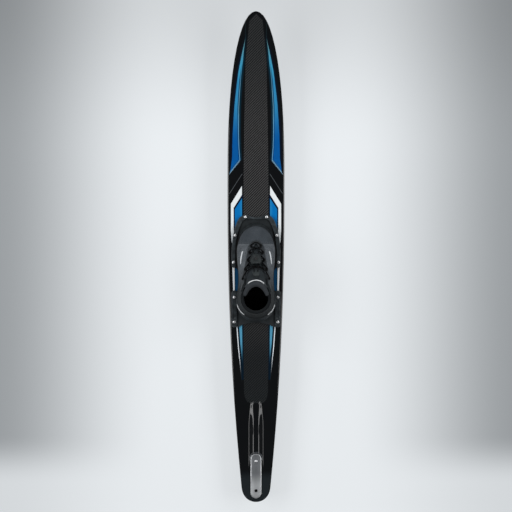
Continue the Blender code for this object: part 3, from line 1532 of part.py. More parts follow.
def main():
    for old in list(bpy.data.objects):
        bpy.data.objects.remove(old, do_unlink=True)
    fin_place = fin_frame()
    lowest = min((fin_place @ Vector((0.0, y, z))).z for y, z in blade_outline())
    root = empty("ski_frame", Matrix.Translation((0.0, 0.0, -lowest)))
    binding = empty("binding_frame", Matrix.Translation((0.0, 0.0, MID_THICKNESS)), root)
    fin = empty("fin_frame", fin_place, root)
    build_blank(root, binding, fin)
    build_fin(fin)
    build_clamps(binding)
    build_sole(binding)
    build_upper(binding)
    build_tongue(binding)
    build_collar(binding)
    build_eyestays(binding)
    build_laces(binding)
    build_lock(binding)
    build_tab(binding)


main()
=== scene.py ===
# %% [markdown]
# # A slalom water ski with a laced boot
#
# The ski, its clamps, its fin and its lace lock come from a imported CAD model. This script keeps
# the hard parts where they are and gives them their finish. The boot is soft, so each of its
# parts is made again here: cloth over foam, padding, rubber, cords and stitches.
# X runs across the ski, Y from tail to tip and Z up out of the deck. Lengths are in metres.

# %% Tools, the frame and its size
import json
import math

import bmesh
import bpy
from mathutils import Matrix, Vector, noise

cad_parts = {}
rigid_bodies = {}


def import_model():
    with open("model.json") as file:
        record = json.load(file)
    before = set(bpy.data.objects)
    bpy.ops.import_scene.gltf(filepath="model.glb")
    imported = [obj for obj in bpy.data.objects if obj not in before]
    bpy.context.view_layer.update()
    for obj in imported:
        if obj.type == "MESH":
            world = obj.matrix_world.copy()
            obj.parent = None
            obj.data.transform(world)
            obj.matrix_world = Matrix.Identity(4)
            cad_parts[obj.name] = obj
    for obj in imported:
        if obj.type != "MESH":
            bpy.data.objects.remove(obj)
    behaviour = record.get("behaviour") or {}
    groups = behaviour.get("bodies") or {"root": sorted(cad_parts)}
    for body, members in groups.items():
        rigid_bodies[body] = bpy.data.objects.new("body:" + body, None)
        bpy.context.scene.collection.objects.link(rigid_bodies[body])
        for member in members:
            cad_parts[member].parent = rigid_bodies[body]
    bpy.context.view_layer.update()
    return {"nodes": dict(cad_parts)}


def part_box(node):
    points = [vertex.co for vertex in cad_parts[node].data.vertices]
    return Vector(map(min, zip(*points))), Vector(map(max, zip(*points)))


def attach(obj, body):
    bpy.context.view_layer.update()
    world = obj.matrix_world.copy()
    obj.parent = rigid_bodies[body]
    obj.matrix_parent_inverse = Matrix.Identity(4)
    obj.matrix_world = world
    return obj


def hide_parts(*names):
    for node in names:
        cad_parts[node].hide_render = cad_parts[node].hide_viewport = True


for old in list(bpy.data.objects):
    bpy.data.objects.remove(old, do_unlink=True)
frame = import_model()
nodes = frame["nodes"]
GAP = 0.0003  # left between two parts that touch
DECK_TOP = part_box("sole_flange")[0].z - GAP  # the deck under the boot
SIDES = ((-1, "left"), (1, "right"))
print("CAD nodes:", len(nodes), "deck at", round(DECK_TOP, 5))

# %% [markdown]
# ## Writing materials
#
# A finish is a tree of nodes. Written out one node at a time it is long and hard to read, so a
# small class adds a node, feeds its sockets and gives back what comes out of it. A pattern then
# reads like a sum. Plain numbers that hold all over a surface go straight onto the shader.


# %% Node writing helpers
def paint(red, green, blue):
    """The linear colour of one given as a screen shows it, 0 to 255."""
    found = []
    for value in (red, green, blue):
        share = value / 255
        found.append(((share + 0.055) / 1.055) ** 2.4 if share > 0.0405 else share / 12.92)
    return (*found, 1.0)


class Wiring:
    """Adds nodes to a tree; each call gives back an output socket."""

    def __init__(self, tree):
        self.tree = tree

    def feed(self, socket, value):
        """Links an output or sets a value; three numbers for a colour are a screen's colour."""
        if isinstance(value, bpy.types.NodeSocket):
            self.tree.links.new(value, socket)
        else:
            drawn = socket.type == "RGBA" and len(value) == 3
            socket.default_value = paint(*value) if drawn else value

    def add(self, kind, *values, output=0, named=None, **settings):
        node = self.tree.nodes.new("ShaderNode" + kind)
        for key, value in settings.items():
            setattr(node, key, value)
        for socket, value in zip(node.inputs, values):
            self.feed(socket, value)
        for word, value in (named or {}).items():
            self.feed(node.inputs[word], value)
        return node.outputs[output]

    def sum(self, operation, *values):
        return self.add("Math", *values, operation=operation)

    def times(self, one, other):
        return self.sum("MULTIPLY", one, other)

    def scaled(self, place, factor):
        """A vector times one number."""
        made = self.add("VectorMath", place, operation="SCALE")
        self.feed(made.node.inputs["Scale"], factor)
        return made

    def stretched(self, place, factors):
        """A vector times a factor on each axis."""
        return self.add("VectorMath", place, factors, operation="MULTIPLY")

    def mix(self, share, low, high):
        """Colour low where share is 0, high where it is 1."""
        node = self.tree.nodes.new("ShaderNodeMix")
        node.data_type = "RGBA"
        for index, value in ((0, share), (6, low), (7, high)):
            self.feed(node.inputs[index], value)
        return node.outputs[2]

    def between(self, value, low, high, to_low=0.0, to_high=1.0):
        """value from low to high, mapped smoothly and held outside."""
        return self.add("MapRange", value, low, high, to_low, to_high,
                        interpolation_type="SMOOTHSTEP")

    def noise(self, place, detail=2.0, roughness=0.5, output=0):
        """Clouds about one unit of the given place across."""
        return self.add("TexNoise", output=output, named={
            "Vector": place, "Scale": 1.0, "Detail": detail, "Roughness": roughness})

    def parts(self, place):
        """The x, y and z of a vector."""
        node = self.tree.nodes.new("ShaderNodeSeparateXYZ")
        self.feed(node.inputs[0], place)
        return node.outputs

    def place(self):
        """The point on the object, in metres."""
        return self.add("TexCoord", output=3)

    def cloth(self):
        """The point on the cloth: its own map, in metres."""
        return self.add("TexCoord", output=2)

    def bump(self, height, depth, strength=1.0):
        return self.add("Bump", named={
            "Height": height, "Distance": depth, "Strength": strength})

    def use(self, effect, **inputs):
        """Places a shared effect and gives back its outputs."""
        node = self.tree.nodes.new("ShaderNodeGroup")
        node.node_tree = effect
        for word, value in inputs.items():
            self.feed(node.inputs[word.replace("_", " ")], value)
        return node.outputs


print("Wiring writes a node tree one call at a time")


# %% A new material, and a new shared effect
def finish(name, **constants):
    """A new material: its wiring, and its shader with these plain values."""
    made = bpy.data.materials.new(name)
    made.use_nodes = True
    shader = made.node_tree.nodes["Principled BSDF"]
    for word, value in constants.items():
        shader.inputs[word.replace("_", " ")].default_value = value
    return made, Wiring(made.node_tree), shader.inputs


def effect(name, inputs, outputs):
    """A new shared effect: its tree, wiring, named inputs and named outputs."""
    tree = bpy.data.node_groups.new(name, "ShaderNodeTree")
    for word, kind, value in inputs:
        socket = tree.interface.new_socket(word, in_out="INPUT", socket_type="NodeSocket" + kind)
        if value is not None:
            socket.default_value = value
    for word, kind in outputs:
        tree.interface.new_socket(word, in_out="OUTPUT", socket_type="NodeSocket" + kind)
    entry = tree.nodes.new("NodeGroupInput")
    leave = tree.nodes.new("NodeGroupOutput")
    return tree, Wiring(tree), entry.outputs, leave.inputs


print("writing helpers ready")

# %% [markdown]
# ## Effects that several finishes share
#
# Moulded plastic, rubber and metal are never even: handling leaves faint clouds and grain. Cloth
# has threads that pass over and under each other. Each is one group of nodes with a size to set,
# so that every part shows it at its real scale.


# %% Clouds and grain
grain_effect, w, given, gives = effect(
    "grain", [("Vector", "Vector", None), ("Size", "Float", 0.001)],
    [("Height", "Float"), ("Cloud", "Float")])
scaled = w.scaled(given["Vector"], w.sum("DIVIDE", 1.0, given["Size"]))
w.feed(gives["Height"], w.noise(scaled, 3.0, 0.6))
w.feed(gives["Cloud"], w.noise(w.stretched(scaled, (0.04, 0.04, 0.04)), 3.0))
print("nodes of the grain:", len(grain_effect.nodes))

# %% Plain weave
weave_effect, w, given, gives = effect(
    "plain_weave", [("Vector", "Vector", None), ("Thread", "Float", 0.001)],
    [("Height", "Float"), ("Shade", "Float")])
turned = w.scaled(given["Vector"], w.sum("DIVIDE", math.pi, given["Thread"]))
wander = w.scaled(w.noise(w.stretched(given["Vector"], (60, 60, 60)), 1.0, output=1), 0.9)
x, y, _ = w.parts(w.add("VectorMath", turned, wander, operation="ADD"))
over = w.times(w.sum("SINE", x), w.sum("SINE", y))
w.feed(gives["Height"], w.sum("MULTIPLY_ADD", over, 0.5, 0.5))
yarn = w.noise(w.stretched(turned, (0.25, 2.2, 1.0)))
w.feed(gives["Shade"], w.sum("MULTIPLY_ADD", over, 0.18, yarn))
print("nodes of the plain weave:", len(weave_effect.nodes))

# %% Braided cord, on a map that runs round the cord and along it
braid_effect, w, given, gives = effect(
    "braid", [("Vector", "Vector", None), ("Stitch", "Float", 0.001)],
    [("Height", "Float"), ("Shade", "Float")])
x, y, _ = w.parts(w.scaled(given["Vector"], w.sum("DIVIDE", math.pi, given["Stitch"])))
plait = w.times(w.sum("SINE", w.sum("ADD", x, y)), w.sum("SINE", w.sum("SUBTRACT", x, y)))
w.feed(gives["Height"], w.sum("MULTIPLY_ADD", plait, 0.5, 0.5))
w.feed(gives["Shade"], w.sum("GREATER_THAN", plait, 0.0))
print("nodes of the braid:", len(braid_effect.nodes))

# %% Brushed metal, with its scratches along one axis
brushed_effect, w, given, gives = effect(
    "brushed", [("Vector", "Vector", None)], [("Height", "Float"), ("Cloud", "Float")])
w.feed(gives["Height"], w.noise(w.stretched(given["Vector"], (5200, 60, 5200)), 3.0, 0.7))
w.feed(gives["Cloud"], w.noise(w.stretched(given["Vector"], (30, 14, 30)), 3.0))
print("shared effects:", len(bpy.data.node_groups))

# %% [markdown]
# ## The deck's print
#
# The deck is black laminate with a printed design under clear gloss: carbon cloth down the
# middle, blue and white bands beside it. A print has no thickness, so it is drawn in the
# material. Most bands are polygons: a point is inside where it is on the inner side of every
# edge, and the least of those distances, made into a soft step, is the band's mask. The long
# stripe has curved edges, so each edge is a float curve that gives its distance from the
# centreline. The design is the same on both sides, so that distance is taken without its sign.

# %% The print's polygons, in millimetres from the centreline and from mid ski
STRIPE_OUTER = (
    (295, 92.3), (300, 90.5), (350, 83.9), (386, 83.2), (432, 82.0), (479, 79.0), (526, 75.9),
    (561, 72.4), (613, 66.2), (647, 61.6), (689, 53.2), (716, 47.7), (762, 36.6))
STRIPE_INNER = (
    (295, 92.0), (343, 54.7), (347, 55.2), (386, 58.2), (432, 59.4), (479, 59.2), (526, 58.4),
    (561, 56.6), (613, 53.0), (647, 49.6), (689, 44.8), (716, 42.4), (762, 36.4))
UNDER_LINE = (((54.7, 341.6), (93.2, 293.4), (93.2, 290.8), (54.7, 339.0)),)
GREY_LINE = (((48.0, 295.0), (92.3, 226.0), (92.3, 223.4), (48.0, 292.4)),)
CHEVRON = (
    ((49.1, 251.4), (87.4, 189.0), (78.0, 174.6), (49.1, 220.4)),
    ((78.0, 174.8), (87.4, 189.2), (87.4, 96.0), (85.6, 62.0), (83.6, 52.0), (77.4, 52.0)),
)
FRONT_OUTLINE = (((46.0, 225.0), (49.1, 220.6), (78.4, 174.4), (78.0, 60.0), (46.0, 60.0)),)
FRONT_PANEL = (((48.8, 208.0), (73.6, 170.6), (73.6, 98.0), (48.8, 98.0)),)
BOOT_WHITE = (((75.2, -28.0), (82.6, -28.0), (79.2, -122.0), (74.4, -122.0)),)
BOOT_BLUE = (((60.0, -28.0), (73.0, -28.0), (72.0, -122.0), (60.0, -122.0)),)
REAR_OUTLINE = (((43.2, -225.0), (70.0, -225.0), (50.0, -424.0), (43.2, -424.0)),)
REAR_WHITE = (
    ((65.6, -225), (68.9, -225), (62.8, -309.6), (59.9, -309.6)),
    ((59.9, -309.4), (62.8, -309.4), (50.2, -424), (54.2, -371.9)),
)
REAR_BLUE = (
    ((48.6, -225), (59.5, -225), (54.3, -300), (47.4, -331.5)),
    ((47.4, -331.5), (48.2, -225), (54.3, -300), (51.2, -331.5), (45.5, -385)),
)
CARBON = (
    ((0, 842), (22.6, 820), (36.2, 686), (39.0, 560), (42.0, 400), (43.2, 244), (0, 244)),
    ((0, 244.2), (43.2, 244.2), (43.2, -337), (41.6, -466), (38.4, -486), (31.0, -500),
     (22.0, -504), (0, -505)),
)
MILLIMETRE = 0.001


def ahead_of(w, x, y, start, end):
    """Distance to the right of the line from start to end."""
    run = Vector(end) - Vector(start)
    across = Vector((run.y, -run.x)).normalized()
    flat = w.times(x, across.x)
    offset = -across.dot(Vector(start)) * MILLIMETRE
    return w.sum("ADD", w.sum("MULTIPLY_ADD", y, across.y, offset), flat)


def inside(w, x, y, polygons, soft=0.0004):
    """1 inside these polygons, 0 outside."""
    found = None
    for points in polygons:
        turn = sum((b[0] - a[0]) * (b[1] + a[1]) for a, b in zip(points, (*points[1:], points[0])))
        ordered = points if turn > 0 else points[::-1]
        least = None
        for start, end in zip(ordered, (*ordered[1:], ordered[0])):
            side = ahead_of(w, x, y, start, end)
            least = side if least is None else w.sum("MINIMUM", least, side)
        found = least if found is None else w.sum("MAXIMUM", found, least)
    return w.between(found, -soft, soft)


def edge_at(w, y, points):
    """Distance from the centreline, in metres, of a curved edge at this place along the ski."""
    low, high = points[0][0], points[-1][0]
    share = w.add("MapRange", y, low * MILLIMETRE, high * MILLIMETRE)
    value = w.add("FloatCurve", 1.0, share)
    curve = value.node.mapping.curves[0]
    places = [((at - low) / (high - low), x / 100) for at, x in points]
    while len(curve.points) < len(places):
        curve.points.new(0.5, 0.5)
    for point, found in zip(curve.points, places):
        point.location = found
        point.handle_type = "VECTOR"
    value.node.mapping.update()
    return w.times(value, 100 * MILLIMETRE)


print("edge points of the long stripe:", len(STRIPE_OUTER) + len(STRIPE_INNER))

# %% Carbon cloth: a two by two twill of flat tows, with a painted highlight on each tow
TOW = 0.0023
twill_effect, w, given, gives = effect(
    "carbon_twill", [("Vector", "Vector", None)], [("Shade", "Float"), ("Gloss", "Float")])
x, y, _ = w.parts(w.stretched(given["Vector"], (1 / TOW, 1 / TOW, 1.0)))
step = w.sum("SUBTRACT", w.sum("FLOOR", x), w.sum("FLOOR", y))
warp = w.sum("LESS_THAN", w.sum("FLOORED_MODULO", step, 4.0), 2.0)
# Painted highlight: the twill's layout is real, but each tow is drawn brightest along its middle
# and the tows of one direction far brighter than the others, as their fibres catch the light.
tow_highlight_x = w.sum("SINE", w.times(w.sum("FRACT", x), math.pi))
tow_highlight_y = w.sum("SINE", w.times(w.sum("FRACT", y), math.pi))
tow_highlight = w.sum("ADD", w.times(warp, tow_highlight_x),
                  w.times(w.sum("SUBTRACT", 1.0, warp), tow_highlight_y))
shade = w.times(w.sum("MULTIPLY_ADD", warp, 0.85, 0.15), tow_highlight)
w.feed(gives["Shade"], w.sum("POWER", shade, 1.5))
w.feed(gives["Gloss"], warp)
print("a tow of the carbon cloth is", round(1000 * TOW, 1), "mm wide")

# %% The deck's finish
BLACK = (7, 9, 11)
NAVY = (2, 16, 38)
deck_finish, w, shader = finish(
    "deck_laminate", Roughness=0.32, Coat_Weight=0.8, Coat_Roughness=0.07,
    Specular_IOR_Level=0.03)
place = w.place()
x, y, _ = w.parts(place)
across = w.sum("ABSOLUTE", x)
carbon = inside(w, across, y, CARBON, 0.0006)
twill = w.use(twill_effect, Vector=place)
# Painted light: the tows' highlights are drawn strong over the front of the ski and faint at the
# tip and tail, where the weave catches less light, and the carbon's ground turns from teal-grey to
# neutral with them.
painted_light = w.sum("MULTIPLY_ADD", w.between(y, 0.02, 0.19), 0.40, 0.22)
painted_light = w.sum("MULTIPLY_ADD", w.between(y, -0.36, -0.24), 0.38, painted_light)
painted_light = w.sum("MULTIPLY_ADD", w.between(y, 0.40, 0.78), -0.50, painted_light)
black = w.mix(w.between(y, -0.735, -0.775), BLACK, (27, 32, 35))
ground = w.mix(carbon, black, w.mix(painted_light, (17, 22, 24), (16, 16, 16)))
# The lighter colour here is the painted highlight on the tows.
cloth = w.mix(w.times(w.times(twill["Shade"], painted_light), carbon),
              ground, (84, 84, 85))
blue_far = (0, 82, 150)
for start, end, ink in ((0.40, 0.56, (44, 130, 176)), (0.60, 0.66, (58, 148, 184)),
                        (0.66, 0.75, (84, 132, 142))):
    blue_far = w.mix(w.between(y, start, end), blue_far, ink)
outer_edge = edge_at(w, y, STRIPE_OUTER)
inner_edge = edge_at(w, y, STRIPE_INNER)
from_inner = w.sum("SUBTRACT", across, inner_edge)
from_outer = w.sum("SUBTRACT", outer_edge, across)
on_stripe = w.times(w.between(y, 0.290, 0.296), w.sum("MINIMUM", w.between(
    from_inner, -0.0004, 0.0004), w.between(from_outer, -0.0004, 0.0022)))
pinstripe = w.times(w.between(y, 0.68, 0.56), w.times(
    w.between(from_inner, 0.0002, 0.0008), w.between(from_inner, 0.0028, 0.0020)))
shadow_line = w.times(w.between(y, 0.66, 0.56), w.times(
    w.between(from_inner, 0.0026, 0.0032), w.between(from_inner, 0.0062, 0.0048)))
teal_side = w.times(w.between(from_inner, 0.0062, 0.0048), w.times(
    w.between(y, 0.47, 0.52), w.between(y, 0.70, 0.60)))
blue_far = w.mix(teal_side, blue_far, (0, 64, 96))
blue_far = w.mix(w.times(shadow_line, 0.7), blue_far, (0, 44, 84))
blue_far = w.mix(w.times(pinstripe, 0.7), blue_far, (120, 176, 200))
near_stripe = w.times(w.between(y, 0.31, 0.36), w.times(
    w.between(from_inner, -0.009, -0.003), w.between(from_outer, -0.009, -0.001)))
near_ink = w.mix(w.between(from_inner, 0.0, 0.001), (0, 38, 54), NAVY)
tinted = w.mix(w.times(near_stripe, w.between(y, 0.80, 0.66, 0.0, 0.8)), cloth,
               near_ink)
colour = w.mix(on_stripe, tinted, blue_far)
blue_near = w.mix(w.between(across, 0.049, 0.060), (30, 124, 182), (0, 108, 178))
blue_near = w.mix(w.between(y, 0.150, 0.104), blue_near, (34, 84, 122))
white = w.mix(w.between(y, 0.05, 0.11), (196, 202, 206), (226, 231, 233))
rear_white = w.mix(w.between(y, -0.33, -0.41), (228, 234, 239), (54, 58, 62))
rear_blue = w.mix(w.between(y, -0.28, -0.37), (82, 152, 184), (16, 40, 60))
for polygons, ink in (
    (UNDER_LINE, (120, 150, 168)),
    (GREY_LINE, (84, 88, 92)),
    (FRONT_OUTLINE, NAVY),
    (CHEVRON, white),
    (FRONT_PANEL, blue_near),
    (BOOT_WHITE, (238, 242, 245)),
    (BOOT_BLUE, (8, 62, 98)),
    (REAR_OUTLINE, (0, 20, 34)),
    (REAR_WHITE, rear_white),
    (REAR_BLUE, rear_blue),
):
    colour = w.mix(inside(w, across, y, polygons), colour, ink)
w.feed(shader["Base Color"], colour)
marks = w.use(grain_effect, Vector=place, Size=0.004)
w.feed(shader["Roughness"], w.between(marks["Cloud"], 0.3, 0.7, 0.26, 0.40))
w.feed(shader["Normal"], w.bump(marks["Height"], 0.00002, 0.25))
print("deck finish nodes:", len(deck_finish.node_tree.nodes))

# %% [markdown]
# ## Moulded, metal and foam finishes
#
# Moulded plastic has a fine spark-eroded grain, rubber is duller with a coarser one, and the
# metals are told apart by how they were worked: the fin is brushed along its length, the screws
# are turned and polished.


# %% Plastics and rubbers
def moulded(name, colour, roughness, size, depth, worn_and_gap_shade, rear=None, shine=0.5):
    """A moulded plastic or rubber; one with a rear colour gets painted light toward the heel and a
    painted shade where the clamps meet it.
    """
    made, w, shader = finish(name, Specular_IOR_Level=shine)
    place = w.place()
    grain = w.use(grain_effect, Vector=place, Size=size)
    if rear:
        x, y, _ = w.parts(place)
        # Painted light: the rubber is drawn lighter toward the heel, to lift the heel cup out of
        # the shade it lies in.
        colour = w.mix(w.between(y, -0.04, -0.16), colour, rear)
        # Painted shade: beside the clamp's inner edge the rubber is drawn nearly black, as the gap
        # there lies in shade.
        groove = w.times(w.between(y, -0.07, -0.03), w.between(
            w.sum("ABSOLUTE", x), 0.056, 0.061))
        colour = w.mix(groove, colour, (4, 5, 6))
        worn_and_gap_shade = w.mix(groove, worn_and_gap_shade, (8, 10, 11))
    low = w.mix(w.between(grain["Cloud"], 0.35, 0.7), colour, worn_and_gap_shade)
    w.feed(shader["Base Color"], w.mix(w.between(grain["Height"], 0.55, 0.8, 0.0, 0.35),
                                       low, worn_and_gap_shade))
    w.feed(shader["Roughness"], w.between(grain["Cloud"], 0.3, 0.7,
                                          roughness - 0.06, roughness + 0.06))
    w.feed(shader["Normal"], w.bump(grain["Height"], depth))
    return made


clamp_finish = moulded("clamp_black", (29, 34, 37), 0.46, 0.0006, 0.00006,
                       (46, 53, 57), shine=0.4)
base_finish = moulded("base_laminate", (13, 14, 16), 0.40, 0.003, 0.00002,
                      (20, 21, 24), shine=0.3)
# The sole rubber's last colour paints light on the heel cup.
rubber_finish = moulded("sole_rubber", (16, 22, 25), 0.66, 0.0009, 0.00010,
                        (33, 39, 42), (38, 42, 45), shine=0.25)
lock_finish = moulded("lock_plastic", (20, 26, 28), 0.52, 0.0005, 0.00005,
                      (30, 37, 38), shine=0.3)
button_finish = moulded("button_plastic", (20, 21, 22), 0.40, 0.0005, 0.00003,
                        (32, 33, 34), shine=0.3)
tab_finish = moulded("tab_rubber", (36, 42, 43), 0.60, 0.0007, 0.00008,
                     (48, 54, 55), shine=0.25)
band_finish = moulded("lacing_band", (28, 32, 35), 0.62, 0.0006, 0.00006,
                      (46, 51, 55), shine=0.25)
lip_finish = moulded("spine_lip_moulding", (62, 66, 70), 0.40, 0.0010, 0.00002,
                     (84, 88, 92))
foam_finish = moulded("core_foam", (214, 204, 170), 0.85, 0.0010, 0.00020,
                      (196, 184, 148))
print("moulded finishes: 9")


# %% Metals
def metal(name, colour, dull, roughness, along=True, rear=None):
    """A worked metal, its scratches running along the ski or in clouds, with a painted reflection
    that makes it lighter at the rear.
    """
    made, w, shader = finish(name, Metallic=1.0)
    place = w.place()
    marks = w.use(brushed_effect if along else grain_effect, Vector=place)
    shade = w.mix(w.between(marks["Cloud"], 0.3, 0.7), colour, dull)
    # Painted reflection: a rear colour makes the metal lighter toward the tail's end.
    if rear:
        shade = w.mix(w.between(w.parts(place)[1], -0.745, -0.800), shade, rear)
    w.feed(shader["Base Color"], shade)
    w.feed(shader["Roughness"], w.between(marks["Height"], 0.25, 0.75,
                                          roughness - 0.07, roughness + 0.07))
    w.feed(shader["Normal"], w.bump(marks["Height"], 0.00001, 0.5))
    return made


fin_finish = metal("fin_aluminium", (226, 228, 230), (206, 209, 212), 0.40)
# The field's rear colour is a painted reflection.
field_finish = metal("fin_field", (140, 143, 146), (124, 127, 130), 0.48,
                     rear=(214, 217, 219))
steel_finish = metal("stainless", (232, 233, 235), (206, 208, 210), 0.40, along=False)
black_steel_finish = metal("black_steel", (34, 34, 36), (22, 22, 24), 0.38, along=False)
brass_finish = metal("insert_brass", (214, 176, 96), (180, 140, 70), 0.34, along=False)
blade_finish = metal("fin_blade_metal", (150, 153, 157), (132, 135, 139), 0.42)
print("metal finishes: 6")

# %% [markdown]
# ## Cloth finishes
#
# The boot is faced with a heathered grey cloth, a fine black mesh at the heel and a matt stretch
# cloth on the padding. Each is woven on the piece's own map, which is in metres, so that the
# threads follow the boot round. Yarn of two shades gives heathering its flecks.


# %% Cloth
def woven(name, dark, light, thread, depth, fleck=0.35, streaks=0.0, ankle=0.0):
    """A woven cloth of two yarn shades, with slubs if streaks is given, darker at the ankle."""
    made, w, shader = finish(name, Roughness=0.88, Sheen_Weight=0.04, Sheen_Roughness=0.5,
                             Specular_IOR_Level=0.15)
    cloth = w.cloth()
    weave = w.use(weave_effect, Vector=cloth, Thread=thread)
    flecks = w.noise(w.stretched(cloth, (900, 300, 1)), 3.0, 0.7)
    clouds = w.noise(w.stretched(cloth, (24, 24, 1)))
    shade = w.sum("MULTIPLY_ADD", w.sum("SUBTRACT", flecks, 0.5), 2.4 * fleck,
                  w.sum("MULTIPLY_ADD", weave["Shade"], 0.5, w.times(clouds, 0.4)))
    if streaks:
        slubs = w.noise(w.stretched(cloth, (420, 70, 1)), 3.0, 0.6)
        shade = w.sum("MULTIPLY_ADD", w.sum("SUBTRACT", slubs, 0.5), streaks, shade)
    colour = w.mix(w.between(shade, 0.15, 0.85), dark, light)
    if ankle:
        _, y, _ = w.parts(w.place())
        colour = w.mix(w.between(y, -0.030, -0.085, 0.0, ankle), colour, (20, 27, 31))
    w.feed(shader["Base Color"], colour)
    w.feed(shader["Normal"], w.bump(weave["Height"], depth))
    return made


vamp_finish = woven("vamp_fabric", (46, 51, 56), (72, 78, 84), 0.0009, 0.00012, 0.35)
quarter_finish = woven("quarter_fabric", (56, 61, 66), (112, 117, 122), 0.0009, 0.00012,
                       0.35, 0.9, 0.55)
mesh_finish = woven("heel_fabric", (18, 22, 24), (50, 56, 59), 0.0016, 0.00030, 0.15)
tongue_finish = woven("tongue_fabric", (26, 31, 34), (54, 60, 64), 0.0012, 0.00020, 0.2)
pad_finish = woven("padding", (36, 39, 42), (60, 64, 68), 0.0007, 0.00010, 0.2)
collar_finish = woven("collar_padding", (8, 11, 13), (24, 28, 31), 0.0007, 0.00010, 0.2)
footbed_finish = woven("footbed_foam", (14, 14, 16), (36, 37, 40), 0.0014, 0.00025)
accent_finish = woven("accent_tape", (196, 202, 206), (228, 231, 233), 0.0008,
                      0.00006, 0.1)
thread_finish = woven("thread", (76, 81, 86), (120, 126, 131), 0.0003, 0.00004, 0.1)
print("cloth finishes: 9")

# %% Piping: reflective yarn, woven in with dark yarn away from the crescent and the heel cup
piping_finish, w, shader = finish("piping", Roughness=0.6, Specular_IOR_Level=0.3)
x, y, _ = w.parts(w.place())
at_heel = w.between(y, -0.157, -0.166)
at_crescent = w.times(w.between(y, -0.135, -0.128),
                    w.between(w.sum("ABSOLUTE", x), 0.0290, 0.0255))
weave = w.use(weave_effect, Vector=w.cloth(), Thread=0.0006)
bright = w.mix(weave["Shade"], (186, 190, 193), (226, 228, 230))
w.feed(shader["Base Color"], w.mix(w.sum("MAXIMUM", at_heel, at_crescent),
                                   (52, 57, 60), bright))
w.feed(shader["Normal"], w.bump(weave["Height"], 0.00008))
print("piping finish nodes:", len(piping_finish.node_tree.nodes))

# %% Laces: a round braid of elastic cord
lace_finish, w, shader = finish("lace", Roughness=0.7, Specular_IOR_Level=0.1)
cloth = w.cloth()
braid = w.use(braid_effect, Vector=cloth, Stitch=0.0014)
w.feed(shader["Base Color"], w.mix(braid["Shade"], (2, 2, 3), (9, 10, 11)))
w.feed(shader["Normal"], w.bump(braid["Height"], 0.00025))
print("lace finish nodes:", len(lace_finish.node_tree.nodes))

# %% [markdown]
# ## The boot's form
#
# A boot is shaped over a last. Its form is given here as the last is on paper: how far the toe
# and the heel reach at each height, how wide it is, and how round its ends are. A point on it
# has a height and a rim value, which is 0 at the toe and 1 at the heel, negative on the left.
# All heights are over the deck.


# %% Smooth curves
def smooth(points):
    """A curve through (input, value) pairs that never overshoots between two of them."""
    xs = [point[0] for point in points]
    ys = [point[1] for point in points]
    rises = [(ys[i + 1] - ys[i]) / (xs[i + 1] - xs[i]) for i in range(len(xs) - 1)]
    slopes = [rises[0]]
    for before, after in zip(rises, rises[1:]):
        slopes.append(2 * before * after / (before + after) if before * after > 0 else 0.0)
    slopes.append(rises[-1])

    def value(x):
        x = min(max(x, xs[0]), xs[-1])
        i = max(0, min(len(xs) - 2, sum(x >= edge for edge in xs) - 1))
        span = xs[i + 1] - xs[i]
        t = (x - xs[i]) / span
        return (
            (1 + 2 * t) * (1 - t) ** 2 * ys[i]
            + t * (1 - t) ** 2 * span * slopes[i]
            + t * t * (3 - 2 * t) * ys[i + 1]
            + t * t * (t - 1) * span * slopes[i + 1]
        )

    return value


def spline(points, step):
    """Points a step apart along a smooth curve through the given ones."""
    points = [Vector(point) for point in points]
    padded = [2 * points[0] - points[1], *points, 2 * points[-1] - points[-2]]
    dense = []
    for before, start, end, after in zip(padded, padded[1:], padded[2:], padded[3:]):
        reach = (end - start).length
        into = (end - before).normalized() * reach
        out = (after - start).normalized() * reach
        for k in range(12):
            t = k / 12
            dense.append(
                (1 + 2 * t) * (1 - t) ** 2 * start
                + t * (1 - t) ** 2 * into
                + t * t * (3 - 2 * t) * end
                + t * t * (t - 1) * out
            )
    dense.append(points[-1])
    return evenly(dense, step)


def ramp(low, high, count):
    """Values from low to high in count even steps."""
    return [low + (high - low) * i / count for i in range(count + 1)]


def evenly(line, step):
    """The same line with points a step apart."""
    run = [0.0]
    for a, b in zip(line, line[1:]):
        run.append(run[-1] + (b - a).length)
    count = max(1, round(run[-1] / step))
    found = []
    i = 0
    for k in range(count + 1):
        target = run[-1] * k / count
        while i < len(run) - 2 and run[i + 1] < target:
            i += 1
        t = (target - run[i]) / max(run[i + 1] - run[i], 1e-12)
        found.append(line[i].lerp(line[i + 1], t))
    return found


print("curve helpers ready, for example", ramp(0, 1, 4))


# %% The last, by height over the deck
toe_y = smooth((
    (0.000, 0.116), (0.012, 0.118), (0.025, 0.114), (0.035, 0.107), (0.045, 0.095),
    (0.056, 0.078), (0.066, 0.060), (0.078, 0.039), (0.092, 0.016), (0.108, -0.008),
    (0.126, -0.032), (0.146, -0.054), (0.166, -0.068), (0.190, -0.077)))
heel_y = smooth((
    (0.000, -0.216), (0.020, -0.220), (0.045, -0.219), (0.075, -0.211),
    (0.100, -0.200), (0.125, -0.192), (0.150, -0.188), (0.190, -0.188)))
boot_half_width = smooth((
    (0.000, 0.0610), (0.020, 0.0650), (0.035, 0.0665), (0.050, 0.0660),
    (0.065, 0.0635), (0.085, 0.0595), (0.108, 0.0565), (0.130, 0.0545), (0.190, 0.0535)))
toe_round = smooth(
    ((0.000, 0.093), (0.045, 0.093), (0.085, 0.082), (0.125, 0.072), (0.190, 0.060)))
heel_round = smooth(((0.000, 0.074), (0.060, 0.066), (0.110, 0.054), (0.190, 0.052)))
